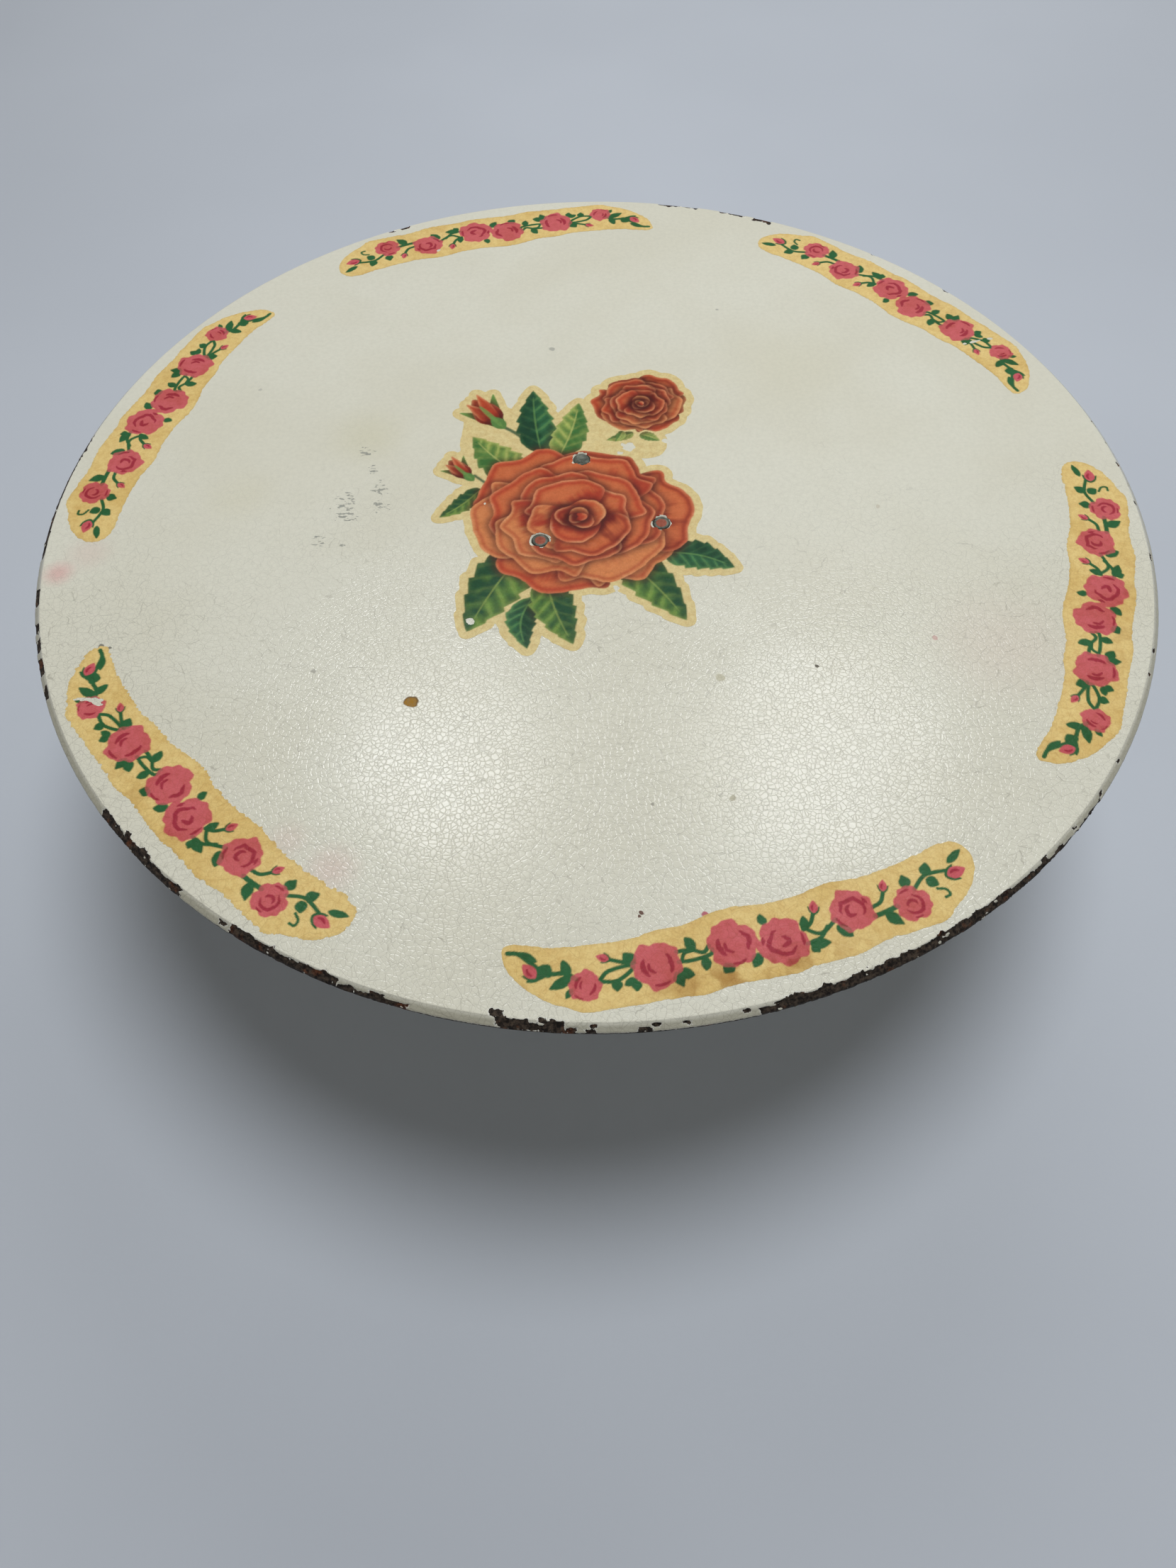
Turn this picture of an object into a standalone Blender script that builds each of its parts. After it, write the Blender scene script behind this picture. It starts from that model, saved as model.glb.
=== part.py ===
"""Cake turntable: a flat steel plate riveted to a hub, turning on a spindle and a ball thrust bearing
in a hollow cast-iron pedestal. Metres, +Z up, origin on the bench, on the spindle's axis."""

import math

import bmesh
import bpy
from mathutils import Matrix, Vector

# Driving dimensions
PLATE_RADIUS = 0.1524
PLATE_THICKNESS = 0.0032
PLATE_EDGE = 0.0015
PLATE_TOP = 0.115
GAP = 0.0003

# Hub, under the plate
HUB_FLANGE_RADIUS = 0.030
HUB_FLANGE_THICKNESS = 0.005
HUB_BOSS_RADIUS = 0.014
HUB_FILLET = 0.0014
PIN_RADIUS = 0.002
PIN_HEIGHT = 0.1026

# Rivets through plate and hub flange
RIVET_CIRCLE = 0.0196
RIVET_RADIUS = 0.0025
RIVET_TAIL_RADIUS = 0.0039
RIVET_TAIL_HEIGHT = 0.0026
RIVET_PHASE = math.radians(100)
RIVETS = 3

# Spindle and its plain bearings
SPINDLE_RADIUS = 0.008
SPINDLE_BOTTOM = 0.034
RUNNING_CLEARANCE = 0.0001
BUSH_RADIUS = 0.0118
BUSH_FLANGE_RADIUS = 0.0148
BUSH_FLANGE_THICKNESS = 0.0018
UPPER_BUSH_LENGTH = 0.020
LOWER_BUSH_LENGTH = 0.018
CLIP_THICKNESS = 0.0012
CLIP_RADIUS = 0.0120
CLIP_GROOVE_RADIUS = 0.0066
WASHER_THICKNESS = 0.0015
WASHER_RADIUS = 0.0140

# Ball thrust bearing in the cup at the top of the pedestal
BALLS = 10
BALL_RADIUS = 0.00238
BALL_CIRCLE = 0.01175
BALL_CLEARANCE = 0.0001
RACE_INNER = 0.0086
RACE_OUTER = 0.0148
RACE_THICKNESS = 0.0023
GROOVE_DEPTH = 0.0007
GROOVE_RADIUS = BALL_RADIUS + 0.0003
CAGE_INNER = 0.0090
CAGE_OUTER = 0.0145
CAGE_THICKNESS = 0.0012

# Pedestal casting
FOOT_RADIUS = 0.088
FOOT_RIM_BOTTOM = 0.0053
FOOT_RIM_TOP = 0.0135
SWEEP_RADIUS = 0.081
SWEEP_BOTTOM = 0.0165
SWEEP_TOP = 0.078
SWEEP_POWER = 2.6
NECK_RADIUS = 0.0190
WALL = 0.0060
COLUMN_BOTTOM = 0.046
CUP_FLOOR = 0.0880
CUP_TOP = 0.0950
CUP_RADIUS = 0.0152
CUP_OUTER_RADIUS = 0.0215

# Rubber feet under the casting's lugs
FEET = 4
FOOT_CIRCLE = 0.073
LUG_RADIUS = 0.0095
LUG_TOP = 0.0125
PAD_RADIUS = 0.0085
PAD_HEIGHT = 0.0045
PAD_HOLE = 0.0022
PAD_RECESS_RADIUS = 0.0044
PAD_RECESS_DEPTH = 0.0024
SCREW_RADIUS = 0.0018
SCREW_HEAD_RADIUS = 0.0036
SCREW_HEAD_HEIGHT = 0.0014
SCREW_LENGTH = 0.0120
SLOT_WIDTH = 0.0008
SLOT_DEPTH = 0.0006

# Heights that follow from the ones above
PLATE_BOTTOM = PLATE_TOP - PLATE_THICKNESS
HUB_TOP = PLATE_BOTTOM - GAP
HUB_FLANGE_BOTTOM = HUB_TOP - HUB_FLANGE_THICKNESS
LOWER_RACE_BOTTOM = CUP_FLOOR + GAP
LOWER_RACE_TOP = LOWER_RACE_BOTTOM + RACE_THICKNESS
BALL_HEIGHT = LOWER_RACE_TOP - GROOVE_DEPTH + BALL_CLEARANCE + BALL_RADIUS
UPPER_RACE_BOTTOM = 2 * BALL_HEIGHT - LOWER_RACE_TOP
UPPER_RACE_TOP = UPPER_RACE_BOTTOM + RACE_THICKNESS
HUB_BOTTOM = UPPER_RACE_TOP + GAP
LOWER_BUSH_BOTTOM = COLUMN_BOTTOM - GAP - BUSH_FLANGE_THICKNESS
WASHER_TOP = LOWER_BUSH_BOTTOM - GAP
CLIP_TOP = WASHER_TOP - WASHER_THICKNESS - GAP

# Roundness: segments in a full turn
PLATE_SEGMENTS = 128
CASTING_SEGMENTS = 56
SHAFT_SEGMENTS = 32
SMALL_SEGMENTS = 20
SWEEP_STEPS = 11
HOLLOW_STEPS = 6
SHARP_ANGLE = math.radians(35)


def clear_scene():
    for item in list(bpy.data.objects):
        bpy.data.objects.remove(item, do_unlink=True)


def new_collection(name):
    collection = bpy.data.collections.new(name)
    bpy.context.scene.collection.children.link(collection)
    return collection


def new_material(name, colour, roughness, metallic):
    material = bpy.data.materials.new(name)
    material.use_nodes = True
    shader = material.node_tree.nodes["Principled BSDF"]
    shader.inputs["Base Color"].default_value = (*colour, 1.0)
    shader.inputs["Roughness"].default_value = roughness
    shader.inputs["Metallic"].default_value = metallic
    material.diffuse_color = (*colour, 1.0)
    return material


def arc(centre_r, centre_z, radius, start, end, steps):
    """Points (r, z) on an arc; angles in degrees, 0 pointing outwards and 90 up."""
    angles = [math.radians(start + (end - start) * i / steps) for i in range(steps + 1)]
    return [(centre_r + radius * math.cos(a), centre_z + radius * math.sin(a)) for a in angles]


def turned(name, profile, segments, closed=False):
    """A turned solid: the (r, z) profile runs down its outer side, and back up its bore where it is closed."""
    mesh = bpy.data.meshes.new(name)
    links = [(i, i + 1) for i in range(len(profile) - 1)]
    if closed:
        links.append((len(profile) - 1, 0))
    mesh.from_pydata([(r, 0.0, z) for r, z in profile], links, [])
    piece = bpy.data.objects.new(name, mesh)
    screw = piece.modifiers.new("turn", "SCREW")
    screw.axis = "Z"
    screw.steps = segments
    screw.render_steps = segments
    screw.use_merge_vertices = True
    screw.merge_threshold = 0.00001
    return piece


def cylinder(name, radius, depth, segments, matrix):
    """A solid cylinder centred on the matrix's origin, along its Z axis."""
    mesh = bpy.data.meshes.new(name)
    shape = bmesh.new()
    bmesh.ops.create_cone(
        shape, cap_ends=True, segments=segments, radius1=radius, radius2=radius, depth=depth, matrix=matrix
    )
    shape.to_mesh(mesh)
    shape.free()
    return bpy.data.objects.new(name, mesh)


def upright(r, angle, z):
    return Matrix.Translation((r * math.cos(angle), r * math.sin(angle), z))


def combine(piece, tool, operation):
    """Cuts the tool out of the piece, or joins it on, and keeps the tool as a hidden wire guide."""
    tools.objects.link(tool)
    tool.hide_render = True
    tool.display_type = "WIRE"
    boolean = piece.modifiers.new(operation.lower(), "BOOLEAN")
    boolean.operation = operation
    boolean.object = tool


def add(piece, material, parent=None):
    piece.data.materials.append(material)
    parts.objects.link(piece)
    piece.parent = parent
    return piece


def axis_empty(name):
    empty = bpy.data.objects.new(name, None)
    parts.objects.link(empty)
    return empty


def settle_and_shade():
    """Applies each part's modifiers, then shades its round faces smooth and keeps its corners sharp."""
    bpy.context.view_layer.update()
    depsgraph = bpy.context.evaluated_depsgraph_get()
    solids = [item for item in parts.objects if item.type == "MESH"]
    meshes = [bpy.data.meshes.new_from_object(item.evaluated_get(depsgraph)) for item in solids]
    for piece, mesh in zip(solids, meshes):
        piece.modifiers.clear()
        piece.data = mesh
        mesh.shade_smooth()
        mesh.set_sharp_from_angle(angle=SHARP_ANGLE)


def rivet_places():
    return [(i + 1, RIVET_PHASE + 2 * math.pi * i / RIVETS) for i in range(RIVETS)]


def foot_places():
    return [(i + 1, math.pi / 4 + 2 * math.pi * i / FEET) for i in range(FEET)]


def cut_rivet_holes(piece, z, depth):
    for number, angle in rivet_places():
        name = f"{piece.name}_rivet_hole_{number}"
        hole = cylinder(name, RIVET_RADIUS + GAP, depth, SMALL_SEGMENTS, upright(RIVET_CIRCLE, angle, z))
        combine(piece, hole, "DIFFERENCE")


def cut_pin_hole(piece):
    across = Matrix.Translation((0, 0, PIN_HEIGHT)) @ Matrix.Rotation(math.pi / 2, 4, "Y")
    hole = cylinder(piece.name + "_pin_hole", PIN_RADIUS + GAP, 4 * HUB_BOSS_RADIUS, SMALL_SEGMENTS, across)
    combine(piece, hole, "DIFFERENCE")


def make_plate():
    flat = PLATE_RADIUS - PLATE_EDGE
    profile = [(0, PLATE_TOP)]
    profile += arc(flat, PLATE_TOP - PLATE_EDGE, PLATE_EDGE, 90, 0, 4)
    profile += arc(flat, PLATE_BOTTOM + PLATE_EDGE, PLATE_EDGE, 0, -90, 4)
    profile += [(0, PLATE_BOTTOM)]
    plate = add(turned("plate", profile, PLATE_SEGMENTS), enamel, turntable_axis)
    cut_rivet_holes(plate, PLATE_TOP, 4 * PLATE_THICKNESS)


def make_hub():
    bore = SPINDLE_RADIUS + GAP
    edge = 0.0012
    profile = [(bore, HUB_TOP)]
    profile += arc(HUB_FLANGE_RADIUS - edge, HUB_TOP - edge, edge, 90, 0, 2)
    profile += arc(HUB_FLANGE_RADIUS - edge, HUB_FLANGE_BOTTOM + edge, edge, 0, -90, 2)
    fillet_r = HUB_BOSS_RADIUS + HUB_FILLET
    fillet = arc(fillet_r, HUB_FLANGE_BOTTOM - HUB_FILLET, HUB_FILLET, 90, 180, 3)
    profile += fillet
    profile += [(HUB_BOSS_RADIUS, HUB_BOTTOM + 0.0008)]
    profile += [(HUB_BOSS_RADIUS - 0.0008, HUB_BOTTOM)]
    profile += [(bore, HUB_BOTTOM)]
    hub = add(turned("hub_flange", profile, SHAFT_SEGMENTS, closed=True), cast_metal, turntable_axis)
    cut_rivet_holes(hub, HUB_FLANGE_BOTTOM + HUB_FLANGE_THICKNESS / 2, 2 * HUB_FLANGE_THICKNESS)
    cut_pin_hole(hub)


def make_rivets():
    """Flush on top, with a round tail head formed under the hub flange."""
    tail_top = HUB_FLANGE_BOTTOM - GAP
    top = PLATE_TOP - 0.0001
    profile = [(0, top), (RIVET_RADIUS - GAP, top), (RIVET_RADIUS, top - GAP)]
    profile += [(RIVET_RADIUS, tail_top), (RIVET_TAIL_RADIUS, tail_top)]
    for i in range(1, 5):
        lean = math.radians(90 * i / 4)
        profile.append((RIVET_TAIL_RADIUS * math.cos(lean), tail_top - RIVET_TAIL_HEIGHT * math.sin(lean)))
    profile[-1] = (0, tail_top - RIVET_TAIL_HEIGHT)
    for number, angle in rivet_places():
        rivet = add(turned(f"rivet_{number}", profile, SMALL_SEGMENTS), rivet_steel, turntable_axis)
        rivet.location = upright(RIVET_CIRCLE, angle, 0).translation


def make_spindle():
    chamfer = 0.0008
    groove_top = CLIP_TOP + GAP
    groove_bottom = CLIP_TOP - CLIP_THICKNESS - GAP
    profile = [(0, HUB_TOP)]
    profile += [(SPINDLE_RADIUS - chamfer, HUB_TOP), (SPINDLE_RADIUS, HUB_TOP - chamfer)]
    profile += [(SPINDLE_RADIUS, groove_top), (CLIP_GROOVE_RADIUS, groove_top)]
    profile += [(CLIP_GROOVE_RADIUS, groove_bottom), (SPINDLE_RADIUS, groove_bottom)]
    profile += [(SPINDLE_RADIUS, SPINDLE_BOTTOM + chamfer), (SPINDLE_RADIUS - chamfer, SPINDLE_BOTTOM)]
    profile += [(0, SPINDLE_BOTTOM)]
    spindle = add(turned("spindle", profile, SHAFT_SEGMENTS), ground_steel, turntable_axis)
    cut_pin_hole(spindle)


def make_hub_pin():
    length = 2 * HUB_BOSS_RADIUS + 0.002
    across = Matrix.Translation((0, 0, PIN_HEIGHT)) @ Matrix.Rotation(math.pi / 2, 4, "Y")
    pin = cylinder("hub_pin", PIN_RADIUS, length, SMALL_SEGMENTS, across)
    add(pin, ground_steel, turntable_axis)


def make_race(name, groove_face, back_face, parent):
    """A grooved washer: the balls run in a groove in its groove face; its back face is flat."""
    side = 1 if groove_face > back_face else -1
    centre = groove_face - side * GROOVE_DEPTH + side * GROOVE_RADIUS
    half = math.degrees(math.acos((GROOVE_RADIUS - GROOVE_DEPTH) / GROOVE_RADIUS))
    groove = arc(BALL_CIRCLE, centre, GROOVE_RADIUS, -90 + half, -90 - half, 6)
    if side < 0:
        groove = arc(BALL_CIRCLE, centre, GROOVE_RADIUS, 90 + half, 90 - half, 6)
    corners = [(RACE_OUTER, groove_face), (RACE_OUTER, back_face)]
    far_corners = [(RACE_INNER, back_face), (RACE_INNER, groove_face)]
    if side > 0:
        profile = corners + far_corners + groove[::-1]
    else:
        profile = corners[::-1] + groove[::-1] + far_corners[::-1]
    add(turned(name, profile, SHAFT_SEGMENTS, closed=True), ground_steel, parent)


def make_balls_and_cage():
    low = BALL_HEIGHT - CAGE_THICKNESS / 2
    high = BALL_HEIGHT + CAGE_THICKNESS / 2
    profile = [(CAGE_OUTER, high), (CAGE_OUTER, low), (CAGE_INNER, low), (CAGE_INNER, high)]
    cage = add(turned("ball_cage", profile, SHAFT_SEGMENTS, closed=True), bronze, cage_axis)
    for i in range(BALLS):
        place = upright(BALL_CIRCLE, 2 * math.pi * i / BALLS, BALL_HEIGHT)
        pocket = cylinder(f"ball_pocket_{i + 1}", BALL_RADIUS + GAP, 4 * CAGE_THICKNESS, 16, place)
        combine(cage, pocket, "DIFFERENCE")
        mesh = bpy.data.meshes.new("ball")
        shape = bmesh.new()
        bmesh.ops.create_uvsphere(shape, u_segments=12, v_segments=8, radius=BALL_RADIUS)
        shape.to_mesh(mesh)
        shape.free()
        ball = add(bpy.data.objects.new(f"ball_{i + 1:02d}", mesh), ground_steel, cage_axis)
        ball.location = place.translation


def make_bushes():
    bore = SPINDLE_RADIUS + RUNNING_CLEARANCE
    top = CUP_FLOOR - GAP
    upper = [(BUSH_RADIUS, top), (BUSH_RADIUS, top - UPPER_BUSH_LENGTH)]
    upper += [(bore, top - UPPER_BUSH_LENGTH), (bore, top)]
    add(turned("upper_bush", upper, SHAFT_SEGMENTS, closed=True), bronze)
    bottom = LOWER_BUSH_BOTTOM
    flange_top = bottom + BUSH_FLANGE_THICKNESS
    lower = [(BUSH_RADIUS, bottom + LOWER_BUSH_LENGTH), (BUSH_RADIUS, flange_top)]
    lower += [(BUSH_FLANGE_RADIUS, flange_top), (BUSH_FLANGE_RADIUS, bottom)]
    lower += [(bore, bottom), (bore, bottom + LOWER_BUSH_LENGTH)]
    add(turned("lower_bush", lower, SHAFT_SEGMENTS, closed=True), bronze)


def make_retainers():
    bore = SPINDLE_RADIUS + GAP
    low = WASHER_TOP - WASHER_THICKNESS
    washer = [(WASHER_RADIUS, WASHER_TOP), (WASHER_RADIUS, low), (bore, low), (bore, WASHER_TOP)]
    add(turned("retaining_washer", washer, SHAFT_SEGMENTS, closed=True), ground_steel, turntable_axis)
    inner = CLIP_GROOVE_RADIUS + GAP
    low = CLIP_TOP - CLIP_THICKNESS
    ring = [(CLIP_RADIUS, CLIP_TOP), (CLIP_RADIUS, low), (inner, low), (inner, CLIP_TOP)]
    clip = add(turned("retaining_clip", ring, SHAFT_SEGMENTS, closed=True), ground_steel, turntable_axis)
    mesh = bpy.data.meshes.new("clip_mouth")
    shape = bmesh.new()
    bmesh.ops.create_cube(shape, size=1, matrix=Matrix.Diagonal((0.020, 0.0090, 0.006, 1)))
    bmesh.ops.translate(shape, vec=Vector((0.012, 0, CLIP_TOP)), verts=shape.verts)
    shape.to_mesh(mesh)
    shape.free()
    combine(clip, bpy.data.objects.new("clip_mouth", mesh), "DIFFERENCE")


def sweep(t):
    """The pedestal's flared outer side: t runs from 0 at the foot to 1 at the neck."""
    r = NECK_RADIUS + (SWEEP_RADIUS - NECK_RADIUS) * (1 - t) ** SWEEP_POWER
    return Vector((r, SWEEP_BOTTOM + (SWEEP_TOP - SWEEP_BOTTOM) * t))


def sweep_inside(t):
    """The same side moved inwards by the wall thickness, square to the surface."""
    step = 0.001
    along = (sweep(t + step) - sweep(t - step)).normalized()
    return sweep(t) + WALL * Vector((-along.y, along.x))


def make_pedestal():
    outside = [(CUP_RADIUS, CUP_TOP)]
    outside += arc(CUP_OUTER_RADIUS - 0.002, CUP_TOP - 0.002, 0.002, 90, 0, 2)
    outside += arc(CUP_OUTER_RADIUS - 0.002, CUP_FLOOR - 0.003, 0.002, 0, -60, 2)
    outside += [tuple(sweep(1 - i / SWEEP_STEPS)) for i in range(SWEEP_STEPS + 1)]
    outside += arc(FOOT_RADIUS - 0.0035, FOOT_RIM_TOP - 0.0035, 0.0035, 90, 0, 3)
    outside += [(FOOT_RADIUS, FOOT_RIM_BOTTOM + 0.001), (FOOT_RADIUS - 0.001, FOOT_RIM_BOTTOM)]
    inside = [(FOOT_RADIUS - WALL, FOOT_RIM_BOTTOM), (FOOT_RADIUS - WALL - 0.0005, FOOT_RIM_BOTTOM + 0.004)]
    inside += [tuple(sweep_inside(0.04 + 0.38 * i / HOLLOW_STEPS)) for i in range(HOLLOW_STEPS + 1)]
    bore = BUSH_RADIUS + GAP
    inside += [(bore + 0.006, COLUMN_BOTTOM), (bore, COLUMN_BOTTOM), (bore, CUP_FLOOR), (CUP_RADIUS, CUP_FLOOR)]
    pedestal = add(turned("pedestal_casting", outside + inside, CASTING_SEGMENTS, closed=True), painted_iron)
    lug_bottom = PAD_HEIGHT + GAP
    for number, angle in foot_places():
        middle = upright(FOOT_CIRCLE, angle, (lug_bottom + LUG_TOP) / 2)
        lug = cylinder(f"lug_{number}", LUG_RADIUS, LUG_TOP - lug_bottom, SMALL_SEGMENTS, middle)
        combine(pedestal, lug, "UNION")
    for number, angle in foot_places():
        hole_place = upright(FOOT_CIRCLE, angle, lug_bottom)
        hole = cylinder(f"foot_hole_{number}", SCREW_RADIUS + GAP, 0.022, 12, hole_place)
        combine(pedestal, hole, "DIFFERENCE")


def make_feet():
    edge = 0.0008
    profile = [(PAD_RADIUS, PAD_HEIGHT), (PAD_RADIUS, edge), (PAD_RADIUS - edge, 0)]
    profile += [(PAD_RECESS_RADIUS, 0), (PAD_RECESS_RADIUS, PAD_RECESS_DEPTH)]
    profile += [(PAD_HOLE, PAD_RECESS_DEPTH), (PAD_HOLE, PAD_HEIGHT)]
    for number, angle in foot_places():
        foot = add(turned(f"foot_{number}", profile, SMALL_SEGMENTS, closed=True), rubber)
        foot.location = upright(FOOT_CIRCLE, angle, 0).translation


def make_foot_screws():
    """Slotted pan-head screws, head down, up through the rubber into the lugs."""
    seat = PAD_RECESS_DEPTH - GAP
    head_bottom = seat - SCREW_HEAD_HEIGHT
    profile = [(0, head_bottom + SCREW_LENGTH), (SCREW_RADIUS - 0.0004, head_bottom + SCREW_LENGTH)]
    profile += [(SCREW_RADIUS, head_bottom + SCREW_LENGTH - 0.0006), (SCREW_RADIUS, seat)]
    profile += [(SCREW_HEAD_RADIUS, seat), (SCREW_HEAD_RADIUS, head_bottom + 0.0005)]
    profile += [(SCREW_HEAD_RADIUS - 0.0005, head_bottom), (0, head_bottom)]
    for number, angle in foot_places():
        screw = add(turned(f"foot_screw_{number}", profile, 16), ground_steel)
        screw.location = upright(FOOT_CIRCLE, angle, 0).translation
        mesh = bpy.data.meshes.new("screw_slot")
        shape = bmesh.new()
        size = Matrix.Diagonal((4 * SCREW_HEAD_RADIUS, SLOT_WIDTH, 2 * SLOT_DEPTH, 1))
        bmesh.ops.create_cube(shape, size=1, matrix=upright(FOOT_CIRCLE, angle, head_bottom) @ size)
        shape.to_mesh(mesh)
        shape.free()
        combine(screw, bpy.data.objects.new(f"screw_slot_{number}", mesh), "DIFFERENCE")


clear_scene()
parts = new_collection("cake_turntable")
tools = new_collection("cutters")

enamel = new_material("cream_enamel", (0.80, 0.78, 0.69), 0.35, 0.0)
painted_iron = new_material("painted_iron", (0.74, 0.72, 0.64), 0.45, 0.0)
cast_metal = new_material("cast_metal", (0.16, 0.15, 0.14), 0.60, 0.8)
rivet_steel = new_material("rivet_steel", (0.34, 0.35, 0.31), 0.50, 0.9)
ground_steel = new_material("ground_steel", (0.55, 0.55, 0.55), 0.30, 1.0)
bronze = new_material("bronze", (0.55, 0.38, 0.17), 0.40, 1.0)
rubber = new_material("black_rubber", (0.03, 0.03, 0.03), 0.85, 0.0)

turntable_axis = axis_empty("turntable_axis")
cage_axis = axis_empty("cage_axis")

make_pedestal()
make_feet()
make_foot_screws()
make_bushes()
make_race("lower_race", LOWER_RACE_TOP, LOWER_RACE_BOTTOM, None)
make_balls_and_cage()
make_race("upper_race", UPPER_RACE_BOTTOM, UPPER_RACE_TOP, turntable_axis)
make_spindle()
make_hub()
make_hub_pin()
make_retainers()
make_rivets()
make_plate()
settle_and_shade()
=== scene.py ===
"""Looks of the cake turntable: crackled cream enamel with a chipped rim, printed rose transfers,
worn rivets and a painted iron pedestal. Metres, +Z up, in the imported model's own frame.
Patterns are laid out in millimetres and turned into metres where meshes are made."""

import math

import bpy
import numpy as np
from mathutils import Matrix, Vector


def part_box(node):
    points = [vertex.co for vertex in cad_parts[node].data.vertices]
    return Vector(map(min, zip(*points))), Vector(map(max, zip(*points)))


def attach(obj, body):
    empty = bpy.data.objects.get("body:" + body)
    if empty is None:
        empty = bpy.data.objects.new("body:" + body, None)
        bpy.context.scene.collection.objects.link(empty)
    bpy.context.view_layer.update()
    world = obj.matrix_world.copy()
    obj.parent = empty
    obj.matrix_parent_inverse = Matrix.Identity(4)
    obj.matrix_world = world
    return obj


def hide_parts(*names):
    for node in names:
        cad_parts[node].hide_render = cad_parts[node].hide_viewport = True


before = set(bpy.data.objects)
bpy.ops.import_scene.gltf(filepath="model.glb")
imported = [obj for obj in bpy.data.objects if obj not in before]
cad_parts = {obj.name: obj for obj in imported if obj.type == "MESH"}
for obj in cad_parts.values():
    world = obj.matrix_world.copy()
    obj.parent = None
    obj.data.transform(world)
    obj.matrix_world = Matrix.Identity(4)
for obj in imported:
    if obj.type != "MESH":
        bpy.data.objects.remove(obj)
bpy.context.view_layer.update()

MM = 0.001

# Sizes that come from the frame
PLATE_LOW, PLATE_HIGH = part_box("plate")
PLATE_TOP = PLATE_HIGH.z
PLATE_BOTTOM = PLATE_LOW.z
PLATE_RADIUS = PLATE_HIGH.x
RIVET_NODES = ("rivet_1", "rivet_2", "rivet_3")

# Plate pieces: the transfers' film, the enamel under it, and the ring where the rim piece begins
FILM = 0.05 * MM
ENAMEL_TOP = PLATE_TOP - FILM
RIM_START = PLATE_RADIUS - 6 * MM
# The edge between top and side lies this far in from the plate's widest circle
ARRIS = 1.9 * MM
# A chip's depth counts 1 for each mm of the top face, and this much for each mm down the side
SIDE_SCALE = 1.8
SKIN = 1.0 * MM
TOP_SEGMENTS = 768
RIM_SEGMENTS = 2800
UNDERSIDE_SEGMENTS = 384
RIVET_SEGMENTS = 64
# The dished places round the rivets
RECESS_RADIUS = 2.6 * MM
RECESS_DEPTH = 0.5 * MM

# Camera, as placed over the plate
CAMERA_TARGET = Vector((-2.96 * MM, -91.98 * MM, PLATE_TOP))
CAMERA_DISTANCE = 263.67 * MM
CAMERA_ELEVATION = math.radians(57.588)
CAMERA_ROLL = math.radians(-0.866)
CAMERA_LENS = 25.708
SENSOR = 36.0


def rgb(code):
    """A linear RGBA colour from a six-figure web colour."""
    values = [int(code[i:i + 2], 16) / 255 for i in (0, 2, 4)]
    linear = [v / 12.92 if v <= 0.04045 else ((v + 0.055) / 1.055) ** 2.4 for v in values]
    return (*linear, 1.0)


def tone(code):
    return np.array(rgb(code)[:3])


def smooth(value, low, high):
    """Rises smoothly from 0 at low to 1 at high."""
    t = np.clip((value - low) / (high - low), 0, 1)
    return t * t * (3 - 2 * t)


def lattice(i, j, seed):
    """A repeatable value from 0 to 1 for each whole-number place."""
    mixed = np.sin(i * 127.1 + j * 311.7 + seed * 74.7) * 43758.5453
    return mixed - np.floor(mixed)


def fractal(x, y, size, seed, octaves=4):
    """Soft noise from 0 to 1, whose largest blotches are size across."""
    total, span, weight = 0.0, 0.0, 1.0
    for octave in range(octaves):
        u, v = x / size + 31 * octave, y / size + 17 * octave
        i, j = np.floor(u), np.floor(v)
        a, b = smooth(u - i, 0, 1), smooth(v - j, 0, 1)
        low = lattice(i, j, seed) * (1 - a) + lattice(i + 1, j, seed) * a
        high = lattice(i, j + 1, seed) * (1 - a) + lattice(i + 1, j + 1, seed) * a
        total = total + weight * (low * (1 - b) + high * b)
        span += weight
        weight *= 0.5
        size *= 0.5
    return total / span


# ---------------------------------------------------------------- materials


class Value:
    """One output of a look's nodes. Adding or multiplying makes Math nodes."""

    def __init__(self, look, socket):
        self.look, self.socket = look, socket

    def __add__(self, other):
        return self.look.math("ADD", self, other)

    def __sub__(self, number):
        return self.look.math("ADD", self, -number)

    def __mul__(self, other):
        return self.look.math("MULTIPLY", self, other)


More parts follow.
